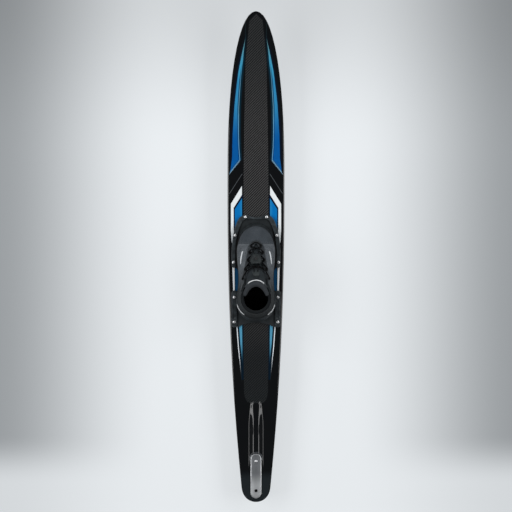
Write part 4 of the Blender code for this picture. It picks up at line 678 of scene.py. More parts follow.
# How much of that width the foot takes along the ski: heel, waist and ball
plan_share = smooth(
    ((-0.220, 0.94), (-0.150, 0.955), (-0.070, 0.90), (0.000, 0.985), (0.030, 1.0)))
rand_height = smooth((
    (-0.220, 0.088), (-0.207, 0.081), (-0.186, 0.063), (-0.168, 0.051), (-0.150, 0.041),
    (-0.105, 0.022), (-0.050, 0.016), (0.060, 0.018), (0.100, 0.028), (0.118, 0.031)))
throat_half_width = smooth((
    (0.071, 0.000), (0.075, 0.0090), (0.084, 0.0145), (0.092, 0.0175),
    (0.108, 0.0225), (0.120, 0.0300), (0.135, 0.0360), (0.160, 0.0410)))
eyestay_half_width = smooth((
    (0.066, 0.0030), (0.070, 0.0165), (0.075, 0.0225), (0.084, 0.0275), (0.092, 0.0300),
    (0.108, 0.0350), (0.120, 0.0430), (0.135, 0.0485), (0.160, 0.0495)))
band_half_width = smooth((
    (0.066, 0.0040), (0.0675, 0.0150), (0.070, 0.0220), (0.075, 0.0272), (0.084, 0.0300),
    (0.092, 0.0318), (0.108, 0.0385), (0.117, 0.0445), (0.125, 0.0480), (0.135, 0.0492),
    (0.160, 0.0498)))
tongue_half_width = smooth(((0.050, 0.018), (0.090, 0.036), (0.178, 0.040)))

WALL = 0.0040  # cloth, foam and lining together
SOLE_TOP = 0.0038
SHELL_TOP = 0.158
VAMP_SEAM_Y = 0.050
UPPER_LOW = SOLE_TOP + GAP
TONGUE_LOW, TONGUE_TOP = 0.052, 0.178
BAND_LOW, BAND_TOP = 0.066, 0.153
TOE_SHARE = 0.40  # rim value where the round of the toe ends
HEEL_SHARE = 0.62  # and where that of the heel starts
print("widest half width of the last:", round(1000 * boot_half_width(0.035), 1), "mm")


# %% Points on the last
def boot_ring(z, v):
    """A point of the boot's outer form."""
    side = -1 if v < 0 else 1
    v = abs(v)
    if v > 1:
        side, v = -side, 2 - v
    wide = boot_half_width(z)
    toe_centre = toe_y(z) - toe_round(z)
    heel_centre = heel_y(z) + heel_round(z)
    if v < TOE_SHARE:
        angle = v / TOE_SHARE * math.pi / 2
        x = wide * math.sin(angle)
        y = toe_centre + toe_round(z) * math.cos(angle)
    elif v < HEEL_SHARE:
        along = (v - TOE_SHARE) / (HEEL_SHARE - TOE_SHARE)
        x = wide
        y = toe_centre + (heel_centre - toe_centre) * along
    else:
        angle = (v - HEEL_SHARE) / (1 - HEEL_SHARE) * math.pi / 2
        x = wide * math.cos(angle)
        y = heel_centre - heel_round(z) * math.sin(angle)
    return Vector((side * x * plan_share(y), y, z))


def boot_normal(z, v):
    """The direction straight out of the boot's form."""
    up = boot_ring(z + 0.001, v) - boot_ring(z - 0.001, v)
    across = boot_ring(z, v + 0.004) - boot_ring(z, v - 0.004)
    normal = up.cross(across).normalized()
    centre = Vector((0.0, (toe_y(z) + heel_y(z)) / 2, z))
    return normal if normal.dot(boot_ring(z, v) - centre) > 0 else -normal


def boot_point(z, v, out=0.0, level=False):
    """A point at this distance outside the boot's form, or at the same height if level."""
    normal = boot_normal(z, v)
    if level:
        normal = Vector((normal.x, normal.y, 0.0)).normalized()
    return boot_ring(z, v) + normal * out


print("length of the boot at its sole:", round(1000 * (toe_y(0.0) - heel_y(0.0))), "mm")


# %% Finding a place on the last
def searched(low, high, wanted):
    """The value between low and high up to which wanted() holds."""
    for _ in range(24):
        middle = (low + high) / 2
        if wanted(middle):
            low = middle
        else:
            high = middle
    return low


def rim_value(z, x):
    """The rim value at which the toe's round reaches this distance from the centreline."""
    return searched(0.0, TOE_SHARE, lambda v: boot_ring(z, v).x < x)


def rim_at(z, y):
    """The rim value at which the right side passes this place along the ski."""
    return searched(0.0, 1.0, lambda v: boot_ring(z, v).y > y)


def front_height(x, y):
    """Height of the boot's front over this point of the plan."""
    return searched(0.025, 0.190, lambda z: boot_ring(z, rim_value(z, abs(x))).y > y)


def over_front(x, y, lift):
    """A point at this distance over the boot's front, above this point of the plan."""
    z = front_height(x, y)
    return over_rim(x, z, lift)


def over_rim(x, z, lift):
    """A point at this distance over the boot's front, at this height of its form."""
    return boot_point(z, math.copysign(rim_value(z, abs(x)), x), lift)


print("instep height over the ball:", round(front_height(0.0, 0.0) * 1000), "mm")

# %% [markdown]
# ## Making a piece
#
# Cloth starts as a flat grid, as it does on a cutting table, and is laid over the last row by
# row. Its map keeps the flat place in metres. The same grid closes into a tube for a cord or a
# roll of padding. A thickness and a rounded edge are then added by modifiers.


# %% Meshes and objects
def mesh_of(bm, name):
    """Closes a bmesh and keeps it as a mesh."""
    mesh = bpy.data.meshes.new(name)
    bm.to_mesh(mesh)
    bm.free()
    return mesh


def linked(name, data):
    """A new object in the scene."""
    made = bpy.data.objects.new(name, data)
    bpy.context.scene.collection.objects.link(made)
    return made


def shade(mesh, angle):
    """Smooth shading, with edges sharper than this many degrees kept crisp."""
    mesh.shade_smooth()
    mesh.set_sharp_from_angle(angle=math.radians(angle))


def outward(bm):
    """Turns the faces of closed shapes outwards."""
    bmesh.ops.recalc_face_normals(bm, faces=bm.faces)


def moved(bm, matrix):
    """Moves a whole mesh."""
    bmesh.ops.transform(bm, verts=bm.verts, matrix=matrix)


def circle(count):
    """Cosine and sine of count even steps round a circle, ending where it starts."""
    turns = [2 * math.pi * k / count for k in range(count + 1)]
    return [(math.cos(angle), math.sin(angle)) for angle in turns]


print("mesh helpers ready")


# %% Laying a grid
def line_length(line):
    """Length along a line of points."""
    return sum((b - a).length for a, b in zip(line, line[1:]))


def flat_size(rings):
    """Width and height of a grid laid flat, measured through its middle."""
    column = (len(rings[0]) - 1) // 2
    return line_length(rings[len(rings) // 2]), line_length([ring[column] for ring in rings])


def lay(rings, bm=None, closed=False):
    """Lays a grid of faces on rows of points, into a new mesh or an open one."""
    target = bm or bmesh.new()
    uv = target.loops.layers.uv.verify()
    columns = len(rings[0]) - 1
    rows = len(rings) - 1
    wide, long = flat_size(rings)
    made = bmesh.ops.create_grid(target, x_segments=columns, y_segments=rows, size=0.5)
    faces = {face for vert in made["verts"] for face in vert.link_faces}
    for face in faces:
        for corner in face.loops:
            flat = corner.vert.co
            corner[uv].uv = ((flat.x + 0.5) * wide, (flat.y + 0.5) * long)
    for vert in made["verts"]:
        vert.co = rings[round((vert.co.y + 0.5) * rows)][round((vert.co.x + 0.5) * columns)]
    bmesh.ops.remove_doubles(target, verts=made["verts"], dist=2e-6)
    if closed:
        left = [edge for edge in target.edges if edge.is_boundary]
        bmesh.ops.holes_fill(target, edges=left, sides=0)
        outward(target)
    return target


def face_outwards(bm):
    """Turns an open sheet's faces away from the middle of the boot."""
    sign = 0.0
    for face in bm.faces:
        middle = face.calc_center_median()
        centre = Vector((0.0, (toe_y(middle.z) + heel_y(middle.z)) / 2, middle.z))
        sign += (middle - centre).dot(face.normal) * face.calc_area()
    if sign < 0:
        bmesh.ops.reverse_faces(bm, faces=bm.faces)


print("grid helpers ready")


# %% Pieces and their thickness
def piece(name, bm, look, stands_for=(), body="ski", sharp=40, lift=DECK_TOP):
    """Makes an object of a mesh that is in the boot's own heights, and gives it its place."""
    bmesh.ops.translate(bm, vec=(0.0, 0.0, lift), verts=bm.verts)
    mesh = mesh_of(bm, name)
    shade(mesh, sharp)
    mesh.materials.append(look)
    made = linked(name, mesh)
    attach(made, body)
    if stands_for:
        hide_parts(*stands_for)
    print(name, len(mesh.polygons), "faces")
    return made


def thicken(made, thickness, edge=0.0006):
    """Gives a sheet its thickness inwards, and rounds its edges."""
    solid = made.modifiers.new("thickness", "SOLIDIFY")
    solid.thickness = thickness
    solid.offset = -1.0
    rounded = made.modifiers.new("edge", "BEVEL")
    rounded.width = edge
    rounded.segments = 2
    rounded.limit_method = "ANGLE"
    rounded.angle_limit = math.radians(50)


def sheet(name, rings, look, stands_for=(), thickness=WALL, edge=0.0006):
    """A panel laid on rows of points, its outside away from the middle of the boot."""
    bm = lay(rings)
    face_outwards(bm)
    thicken(piece(name, bm, look, stands_for), thickness, edge)
    print("  flat size in mm:", *(round(1000 * size) for size in flat_size(rings)))


def copied(name):
    """A copy of a CAD node's mesh with its triangles joined up again."""
    bm = bmesh.new()
    bm.from_mesh(nodes[name].data)
    bmesh.ops.remove_doubles(bm, verts=bm.verts, dist=1e-6)
    bmesh.ops.dissolve_limit(bm, angle_limit=math.radians(0.6), verts=bm.verts, edges=bm.edges)
    return bm


print("piece helpers ready")

# %% [markdown]
# ## The upper: vamp, quarters and heel
#
# Four panels are sewn edge to edge. Each is pulled down at its seams by the thread, so its face
# dips there and stands a little proud in the middle. A real upper is never quite even, so a
# slow, shallow unevenness is added too.

# %% Panels
SEAM_DIP = 0.0007
SEAM_REACH = 0.0035
UNEVEN = 0.00035
SEAM_GAP = 0.0008  # between two panels, as a rim value


def panel(levels, first, last, columns, depth=0.0):
    """A cloth panel between two rim values at each height."""
    flat = [ramp(first(z), last(z), columns) for z in levels]
    bare = [[boot_ring(z, v) for v in row] for z, row in zip(levels, flat)]
    rings = []
    for i, (z, row) in enumerate(zip(levels, flat)):
        ring = []
        for j, v in enumerate(row):
            point = bare[i][j]
            edge = min(
                (point - bare[i][0]).length, (point - bare[i][-1]).length,
                (point - bare[0][j]).length + SEAM_REACH, (point - bare[-1][j]).length)
            dip = SEAM_DIP * math.exp(-((edge / SEAM_REACH) ** 2))
            rough = UNEVEN * noise.noise(point * 38.0)
            ring.append(boot_point(z, v, depth - dip - abs(rough)))
        rings.append(ring)
    return rings


def vamp_edge(z):
    """The rim value of the vamp's seam, or 0 above its top."""
    return rim_at(z, VAMP_SEAM_Y - 0.00015) if toe_y(z) > VAMP_SEAM_Y else 0.0


def heel_seam(z):
    """Where the seam of the heel panel is along the ski: it leans forward as it rises."""
    return -0.128 + 0.42 * z


def heel_edge(z):
    """That seam's rim value."""
    return rim_at(z, heel_seam(z))


def throat_edge(z):
    """The rim value where a quarter starts: at the vamp's seam, or at the throat."""
    if z < 0.0712:
        return vamp_edge(z) + SEAM_GAP
    return max(vamp_edge(z), rim_value(z, throat_half_width(z))) + SEAM_GAP


def heel_front(z):
    """Where the heel panel starts: at its seam, or above the seam's end at the throat."""
    return max(heel_edge(z), throat_edge(z)) + SEAM_GAP


apex = searched(0.0, 0.1, lambda z: toe_y(z) > VAMP_SEAM_Y)
quarter_top = searched(0.1, SHELL_TOP, lambda z: heel_edge(z) > throat_edge(z) + 0.02)
sheet("vamp_cloth", panel(ramp(UPPER_LOW, apex, 46), lambda z: -vamp_edge(z), vamp_edge, 84),
      vamp_finish, ("vamp",))
for side, word in SIDES:
    rings = panel(ramp(UPPER_LOW, quarter_top, 92), lambda z: side * throat_edge(z),
                  lambda z: side * (heel_edge(z) - SEAM_GAP), 76)
    sheet(f"quarter_cloth_{word}", rings, quarter_finish, (f"quarter_{word}",))
sheet("heel_mesh", panel(ramp(UPPER_LOW, SHELL_TOP, 88), heel_front,
                         lambda z: 2 - heel_front(z), 120),
      mesh_finish, ("heel_shell",))

# %% A plain accent tape on each quarter
TAPE_WIDTH = 0.0062
ACCENT = ((0.0465, 0.0235), (0.0490, 0.0130), (0.0512, 0.0010), (0.0532, -0.0205))
for side, word in SIDES:
    middle = spline([(x, y, 0.0) for x, y in ACCENT], 0.0012)
    rings = []
    for k, point in enumerate(middle):
        z = front_height(point.x, point.y)
        v = side * rim_value(z, point.x)
        ends = min(1.0, 0.35 + min(k, len(middle) - 1 - k) / 2)
        ahead = (boot_ring(z + 0.001, v) - boot_ring(z, v)).normalized()
        over = boot_normal(z, v)
        cross = over.cross(ahead).normalized()
        rings.append([boot_point(z, v, 0.0004) + cross * (TAPE_WIDTH * ends * (share - 0.5))
                      for share in ramp(0, 1, 4)])
    sheet(f"accent_tape_{word}", rings, accent_finish, (), 0.0008, 0.0002)

# %% [markdown]
# ## The sole's flange and the rand
#
# The rubber sole is a flat plate under the clamps, with a rand that rises round the boot and
# climbs into a heel cup. The plate keeps its CAD outline, cut from a copy of the node. The rand
# is a closed ring whose section has a rounded lip and one raised line.

# %% Sole
plate_top = DECK_TOP + SOLE_TOP - 0.00002
bm = copied("sole_flange")
bmesh.ops.bisect_plane(bm, geom=[*bm.verts, *bm.edges, *bm.faces], dist=1e-7,
                       plane_co=(0, 0, plate_top), plane_no=(0, 0, 1), clear_outer=True)
bmesh.ops.holes_fill(bm, edges=[edge for edge in bm.edges if edge.is_boundary], sides=0)
piece("sole_plate", bm, rubber_finish, ("sole_flange",), lift=0.0)
RAND_OUTER = 0.0035
RAND_INNER = 0.0009
RAND_SECTION = (
    (0.00, RAND_OUTER), (0.10, RAND_OUTER), (0.22, RAND_OUTER), (0.36, RAND_OUTER),
    (0.50, RAND_OUTER), (0.62, RAND_OUTER), (0.70, RAND_OUTER), (0.73, RAND_OUTER + 0.0006),
    (0.78, RAND_OUTER + 0.0006), (0.81, RAND_OUTER), (0.90, RAND_OUTER),
    (0.955, RAND_OUTER - 0.0003), (0.985, RAND_OUTER - 0.0009), (1.00, 0.0022),
    (0.985, RAND_INNER + 0.0003), (0.95, RAND_INNER),
    (0.70, RAND_INNER), (0.45, RAND_INNER), (0.20, RAND_INNER), (0.00, RAND_INNER))
root = SOLE_TOP - 0.0017
rings = []
for share, out in (*RAND_SECTION, RAND_SECTION[0]):
    ring = []
    for v in ramp(-1, 1, 180):
        top = rand_height(boot_ring(0.02, v).y)
        z = root + (top - root) * share
        ring.append(boot_point(z, v, out, level=share == 0))
    rings.append(ring)
bm = lay(rings)
outward(bm)
piece("sole_rand", bm, rubber_finish, sharp=60)

# %% Footbed, dished under the heel and raised at the arch
rings = []
for share, inset in ((0.0, 0.0), (0.25, -0.0003), (0.7, 0.0), (0.93, -0.0010), (1.0, -0.0030),
                     (1.0, -0.012), (1.0, -0.026), (1.0, -0.042), (1.0, -0.060)):
    ring = []
    for v in ramp(-1, 1, 120):
        level = UPPER_LOW + 0.0065 * share
        rim_point = boot_ring(level, v)
        centre = Vector((0.0, min(max(rim_point.y, -0.15), 0.05), level))
        edge = boot_point(level, v, -WALL - 0.0024, level=True)
        pull = min(1.0, -inset / max((edge - centre).length, 1e-6))
        point = edge.lerp(centre, pull)
        if share == 1.0:
            dish = 0.0018 * math.exp(-(((point.y + 0.15) / 0.035) ** 2) - (point.x / 0.03) ** 2)
            point.z -= dish
        ring.append(point)
    rings.append(ring)
piece("footbed_cloth", lay(rings, closed=True), footbed_finish, ("footbed",),
      sharp=50)

# %% [markdown]
# ## Tongue and lacing bands
#
# The tongue is padded in cross ribs, which show as dark lines in the throat. The lacing bands
# are smooth and dark, sewn on over the edges of the quarters, and carry five loops a side.

# %% Tongue
TONGUE_FACE = -WALL - 0.0010
RIB_PITCH = 0.0052
rings = []
for z in ramp(TONGUE_LOW, TONGUE_TOP, 112):
    reach = rim_value(z, tongue_half_width(z))
    ring = []
    for share in ramp(-1, 1, 36):
        rib = 0.00042 * math.cos(2 * math.pi * z / RIB_PITCH) * (1 - share ** 4)
        ring.append(boot_point(z, reach * share, TONGUE_FACE + rib - 0.0004, level=z > 0.176))
    rings.append(ring)
sheet("tongue_cloth", rings, tongue_finish, ("tongue",))

# %% Lacing bands
BAND_LIFT = 0.0006
BAND_THICKNESS = 0.0022
for side, word in SIDES:
    rings = []
    for i in range(91):
        z = BAND_LOW + (BAND_TOP - BAND_LOW) * (i / 90) ** 1.15
        inner = rim_value(z, max(throat_half_width(z), 0.0003))
        outer = rim_value(z, band_half_width(z))
        ring = []
        for share in ramp(0, 1, 16):
            v = side * (inner + (outer - inner) * share)
            edge = min(share, 1 - share) * (band_half_width(z) - throat_half_width(z))
            dip = 0.0005 * math.exp(-((edge / 0.0016) ** 2))
            ring.append(boot_point(z, v, BAND_LIFT + BAND_THICKNESS - dip))
        rings.append(ring)
    sheet(f"lacing_band_{word}", rings, band_finish, (f"eyestay_{word}",),
          BAND_THICKNESS - 0.0004)

# %% Lace loops: a folded webbing arch at each of five heights
LACE_RADIUS = 0.0018
WEBBING = 0.0012  # its thickness
LOOP_HEIGHTS = (0.0752, 0.0870, 0.1015, 0.1165, 0.1315)
LOOP_HALF_LENGTH = 0.0029
LOOP_OUTER = LACE_RADIUS + 0.0007 + WEBBING


def loop_frame(side, z):
    """Position and axes of a lace loop on its band: along, across and out."""
    x = (throat_half_width(z) + eyestay_half_width(z)) / 2
    v = side * rim_value(z, x)
    above = z + 0.004
    x_above = (throat_half_width(above) + eyestay_half_width(above)) / 2
    ahead = boot_ring(above, side * rim_value(above, x_above)) - boot_ring(z, v)
    out = boot_normal(z, v)
    along = (ahead - out * ahead.dot(out)).normalized()
    lift = BAND_LIFT + BAND_THICKNESS + GAP + LACE_RADIUS
    return boot_ring(z, v) + out * lift, along, out.cross(along), out


LEGS = [(LOOP_OUTER, -0.0026), (LOOP_OUTER, -0.0012)]
ARCH = [(LOOP_OUTER * math.cos(math.pi * k / 14), LOOP_OUTER * math.sin(math.pi * k / 14))
        for k in range(15)]
PROFILE = LEGS + ARCH + [(-u, h) for u, h in reversed(LEGS)]
for side, word in SIDES:
    bm = bmesh.new()
    for z in LOOP_HEIGHTS:
        centre, along, across, out = loop_frame(side, z)
        rings = []
        for share in ramp(-1, 1, 8):
            middle = centre + along * (LOOP_HALF_LENGTH * share)
            rings.append([middle + across * u + out * h for u, h in PROFILE])
        lay(rings, bm)
        bm.normal_update()
        new_faces = bm.faces[-8 * (len(PROFILE) - 1):]
        if sum((face.calc_center_median() - centre).dot(face.normal) for face in new_faces) < 0:
            bmesh.ops.reverse_faces(bm, faces=new_faces)
    loops = piece(f"lace_loops_{word}", bm, lace_finish)
    thicken(loops, WEBBING, 0.0003)

# %% [markdown]
# ## Laces
#
# Two elastic cords run in one plane over the tongue, through the lock, and zigzag through the
# loops. Each follows one smooth line, and where two cords cross, one passes over the other.

# %% Where the laces go
LACE_TURN = 0.0034
TURN_LIFT = 0.0010
OVER_LACE = 2 * LACE_RADIUS + 2 * GAP
LOWER_LIFT = -0.0010  # the lower lace's centre line over the boot's form, where it crosses
UPPER_LIFT = -0.0025
LOWER_RISE = 0.0036  # from a loop's middle to where the lace leaves it for the other side
UPPER_RISE = 0.0043
STRAND_X = 0.0065
STRAND_TOE_Y = 0.0125
STRAND_TAB_Y = -0.0470


def strand_matrix(y):
    """Frame on the strands: X across, Y down them to the toe, Z out of the boot."""
    toe = over_front(0.0, STRAND_TOE_Y, 0.0126)
    tab = over_front(0.0, STRAND_TAB_Y, 0.0135)
    down = (toe - tab).normalized()
    centre = toe + down * (y - toe.y) / down.y
    out = Vector((1.0, 0.0, 0.0)).cross(down)
    return Matrix((
        (1.0, down.x, out.x, centre.x),
        (0.0, down.y, out.y, centre.y),
        (0.0, down.z, out.z, centre.z),
        (0.0, 0.0, 0.0, 1.0),
    ))


print("lower strands stand", round(1000 * STRAND_X, 1), "mm from the middle")


# %% Through a loop and over the tongue
def through_loop(side, z):
    """A lace's points through a loop, toe end first, with its turn toward the throat."""
    centre, along, across, out = loop_frame(side, z)
    reach = LOOP_HALF_LENGTH + LACE_RADIUS / 2
    inward = across if across.x * side < 0 else -across
    toe_end = centre - along * reach
    ankle_end = centre + along * reach
    rise = out * TURN_LIFT
    return [
        toe_end - along * LACE_TURN + inward * LACE_TURN + rise,
        toe_end,
        centre,
        ankle_end,
        ankle_end + along * LACE_TURN + inward * LACE_TURN + rise,
    ]


def crossing(side, z_from, z_to, lift):
    """A lace's points over the tongue, from one side's height to the other's."""
    found = []
    over_band = BAND_LIFT + BAND_THICKNESS + GAP + LACE_RADIUS + TURN_LIFT
    for share in (-0.8, -0.35, 0.0, 0.35, 0.8):
        z = z_from + (z_to - z_from) * (share + 1) / 2
        x = -side * share * (throat_half_width(z) + 0.0017)
        height = lift + (over_band - lift) * abs(share) ** 1.2
        found.append(over_rim(x, z, height))
    return found


print("a lace turns into its loop over", round(1000 * LACE_TURN, 1), "mm")


# %% The two routes
def lower_route():
    """From the tab's left socket through the lock, the toe's loops and back to the right."""
    tab = strand_matrix(STRAND_TAB_Y)
    toe = strand_matrix(STRAND_TOE_Y)
    halves = []
    for side in (-1, 1):
        start = tab @ Vector((side * STRAND_X, LACE_RADIUS + GAP, 0.0))
        end = toe @ Vector((side * STRAND_X, 0.0, 0.0))
        down = [start.lerp(end, share / 4) for share in range(5)]
        down.append(toe @ Vector((side * STRAND_X, 0.0045, -0.0002)))
        down.append(over_front(side * 0.0085, 0.0172, 0.0112))
        down.append(over_front(side * 0.0130, 0.0160, 0.0096))
        down += reversed(through_loop(side, LOOP_HEIGHTS[1]))
        halves.append(down)
    second = LOOP_HEIGHTS[1] - LOWER_RISE
    first = LOOP_HEIGHTS[0] + LOWER_RISE
    return [
        *halves[0],
        *crossing(-1, second, first, LOWER_LIFT),
        *reversed(through_loop(1, LOOP_HEIGHTS[0])),
        *(over_rim(x, 0.0710, 0.0052) for x in (0.0045, 0.0, -0.0045)),
        *through_loop(-1, LOOP_HEIGHTS[0]),
        *crossing(-1, first, second, LOWER_LIFT + OVER_LACE),
        *reversed(halves[1]),
    ]


def upper_route():
    """From the top left loop, crossing down to the third pair of loops and back up."""
    rows = LOOP_HEIGHTS[:1:-1]
    down = list(reversed(through_loop(-1, rows[0])[:3]))
    up = list(reversed(through_loop(1, rows[0])[:3]))
    side = -1
    for above, below in zip(rows, rows[1:]):
        high, low = above - UPPER_RISE, below + UPPER_RISE
        down += crossing(side, high, low, UPPER_LIFT)
        up += crossing(-side, high, low, UPPER_LIFT + OVER_LACE)
        side = -side
        down += reversed(through_loop(side, below))
        up += reversed(through_loop(-side, below))
    last = rows[-1] - UPPER_RISE
    return [*down, *crossing(side, last, last, UPPER_LIFT), *reversed(up)]


print("points of the routes:", len(lower_route()), "and", len(upper_route()))


# %% Cords, and the piping and stitches that are made the same way
def cord_rings(line, radius, tip=0.5):
    """Rings round a line, smaller at its two ends."""
    rings = []
    last = len(line) - 1
    side = (line[1] - line[0]).orthogonal().normalized()
    for i, point in enumerate(line):
        ahead = (line[min(i + 1, last)] - line[max(i - 1, 0)]).normalized()
        side = (side - ahead * side.dot(ahead)).normalized()
        up = ahead.cross(side)
        size = radius * (tip if i in (0, last) else 1.0)
        rings.append([point + side * size * c + up * size * s for c, s in circle(12)])
    return rings


def cord(name, line, radius, look, stands_for=(), lift=DECK_TOP):
    """Makes a closed cord along a line."""
    bm = lay(cord_rings(line, radius), closed=True)
    piece(name, bm, look, stands_for, sharp=60, lift=lift)
    print("  length in mm:", round(1000 * line_length(line)))


def bag_ring(centre, out, depth, rise, count):
    """An upright oval of points: depth reaches out, rise reaches up."""
    return [centre + out * depth * c + Vector((0, 0, rise * s)) for c, s in circle(count)]


def nipped(past, least):
    """Share of its girth that a bag has near its end: 1 at past 0, least at past 1."""
    return math.sqrt(max(0.0, 1 - max(0.0, past) ** 2)) * (1 - least) + least


for name, route in (("lower", lower_route()), ("upper", upper_route())):
    line = spline(route, 0.0016)
    cord(f"{name}_lace_cord", line, LACE_RADIUS, lace_finish, (f"{name}_lace",))

# %% [markdown]
# ## Padding
#
# The top of the tongue is a padded crescent and the mouth has a padded roll. Both are blown up
# as cloth bags: the closed shape starts a little small, a voxel remesh gives it even faces, and
# a few frames of cloth simulation with pressure fill it. How far a point may move is capped, so
# the bag stays within its room.


# %% Blowing up a bag
PRESSURE = 4.0
FRAMES = 20


def plump(made, voxel, cap):
    """Fills a closed mesh as a cloth bag, then smooths it once."""
    scene = bpy.context.scene
    remesh = made.modifiers.new("even", "REMESH")
    remesh.mode = "VOXEL"
    remesh.voxel_size = voxel
    apply_modifiers(made)
    rest = [vert.co.copy() for vert in made.data.vertices]
    cloth = made.modifiers.new("bag", "CLOTH")
    cloth.settings.use_pressure = True
    cloth.settings.uniform_pressure_force = PRESSURE
    cloth.settings.effector_weights.gravity = 0.0
    cloth.point_cache.frame_start = 1
    cloth.point_cache.frame_end = FRAMES
    for k in range(1, FRAMES + 1):
        scene.frame_set(k)
    apply_modifiers(made)
    scene.frame_set(1)
    for vert, was in zip(made.data.vertices, rest):
        move = vert.co - was
        if move.length > cap:
            vert.co = was + move.normalized() * cap
    made.data.shade_smooth()
    fine = made.modifiers.new("fine", "SUBSURF")
    fine.levels = 1
    fine.render_levels = 1


def apply_modifiers(made):
    """Bakes the modifiers into the mesh, which keeps its material."""
    graph = bpy.context.evaluated_depsgraph_get()
    graph.update()
    mesh = bpy.data.meshes.new_from_object(made.evaluated_get(graph))
    look = made.data.materials[0]
    made.modifiers.clear()
    made.data = mesh
    if not mesh.materials:
        mesh.materials.append(look)


print("a bag fills in", FRAMES, "frames")


# %% The crescent on the tongue
PAD_DEPTH = 0.0110
PAD_RISE = 0.0080
PAD_END = 0.352
BAG_ROOM = 0.0006  # how much smaller than its room the bag starts
rings = []
pad_front = []
for share in ramp(0, 1, 60):
    v = PAD_END * (2 * share - 1) * 1.03
    side = abs(2 * share - 1)
    taper = 1 - 0.40 * side ** 2
    settled = PAD_RISE * taper
    nip = nipped((side - 0.90) / 0.10, 0.15)
    z = TONGUE_TOP + GAP + settled
    centre = boot_point(z, v, -PAD_DEPTH, level=True)
    out = (boot_point(z, v, 0.0) - centre).normalized()
    rings.append(bag_ring(centre, out, (PAD_DEPTH * taper - BAG_ROOM) * nip,
                          (settled - BAG_ROOM) * nip, 24))
    if 0.18 <= share <= 0.82:
        pad_front.append(centre + out * (PAD_DEPTH * taper + 0.0013))
crescent = piece("tongue_pad_cloth", lay(rings, closed=True), pad_finish,
                 ("tongue_pad",))
plump(crescent, 0.0022, BAG_ROOM)

# %% The roll round the mouth
COLLAR_RADIUS = 0.0066
MOUTH_START = 0.34  # the rim value where the roll starts, behind the tongue
ROLL_STEPS = 140
rings = []
for share in ramp(0, 1, ROLL_STEPS):
    v = MOUTH_START - 0.010 + (2 * (1 - MOUTH_START) + 0.020) * share
    nip = nipped(1 - min(share, 1 - share) * ROLL_STEPS / 4, 0.2)
    z = SHELL_TOP + GAP + COLLAR_RADIUS
    centre = boot_point(z, v, -0.0045, level=True)
    out = (boot_point(z, v, 0.0, level=True) - centre).normalized()
    tuck = 1 - 0.035 * abs(math.sin(math.pi * share * 26)) ** 6
    radius = (COLLAR_RADIUS - 0.0005) * nip * tuck
    rings.append(bag_ring(centre, out, radius, radius, 20))
roll = piece("collar_pad_cloth", lay(rings, closed=True), collar_finish,
             ("collar_pad",))
plump(roll, 0.0018, 0.0005)

# %% Piping: on the crescent's edge, and along both edges of the heel cup
cord("tongue_piping_cord", evenly(pad_front, 0.0015), 0.0017, piping_finish,
     ("tongue_piping",))
ABOVE_RAND = 0.0036
OFF_HEEL = 0.0018
for side, word in SIDES:
    line = []
    for share in ramp(0.58, 0.82, 48):
        top = rand_height(boot_ring(0.02, side * share).y) + ABOVE_RAND
        line.append(boot_point(top, side * share, OFF_HEEL, level=True))
    cord(f"heel_piping_cord_{word}", evenly(line, 0.0015), 0.0015, piping_finish,
         (f"heel_piping_{word}",))

# %% [markdown]
# ## Stitches
#
# Thread is what tells a sewn boot from a moulded one. Each stitch is a small slim bead that lies
# half sunk in the cloth, and they follow the seams at an even pitch, in double rows where the
# seam carries load.

# %% Stitch rows
STITCH_PITCH = 0.0034
STITCH_LENGTH = 0.0024
STITCH_RADIUS = 0.00036


def sew(bm, line):
    """Lays stitches along a line of points on the cloth."""
    for a, b in zip(line[::2], line[1::2]):
        ahead = (b - a).normalized()
        made = bmesh.ops.create_icosphere(bm, subdivisions=1, radius=1.0)
        turn = ahead.to_track_quat("Z", "Y").to_matrix().to_4x4()
        size = Matrix.Diagonal((STITCH_RADIUS, STITCH_RADIUS, STITCH_LENGTH / 2, 1.0))
        bmesh.ops.transform(bm, verts=made["verts"],
                            matrix=Matrix.Translation((a + b) / 2) @ turn @ size)


def stitches(name, bm):
    """Makes the stitches in a mesh one piece."""
    outward(bm)
    piece(name, bm, thread_finish, sharp=180)


def seam_line(first, count, value, out):
    """Stitch ends along a curve that goes up the boot."""
    line = [boot_point(z, value(z), out) for z in ramp(*first, count)]
    return evenly(line, STITCH_PITCH / 2)


bm = bmesh.new()
SEWN = -SEAM_DIP * 0.3
for side in (-1, 1):
    for offset in (0.0032, 0.0058):
        low = rand_height(VAMP_SEAM_Y) + 0.002
        sew(bm, seam_line((low, apex - 0.001 - offset), 60,
                          lambda z: side * rim_at(z, VAMP_SEAM_Y + offset), SEWN))
        sew(bm, seam_line((0.030, quarter_top - 0.012), 90,
                          lambda z: side * rim_at(z, heel_seam(z) + offset), SEWN))
    rim_line = [boot_point(SHELL_TOP - 0.004, side * v, SEWN)
                for v in ramp(0.40, 0.99, 90)]
    sew(bm, evenly(rim_line, STITCH_PITCH / 2))
stitches("upper_stitches", bm)

bm = bmesh.new()
for side in (-1, 1):
    line = []
    for z in ramp(BAND_LOW + 0.003, BAND_TOP - 0.003, 90):
        x = band_half_width(z) - 0.0022
        line.append(boot_point(z, side * rim_value(z, x), BAND_LIFT + BAND_THICKNESS - 0.0001))
    sew(bm, evenly(line, STITCH_PITCH / 2))
stitches("band_stitches", bm)

# %% [markdown]
# ## Clamps
#
# The front clamp is one moulded bar bent round the toe, the rear ones are two short rails. Their
# edges are rounded, so light runs along them. Each is a strip laid along its centre line with a
# rounded section.

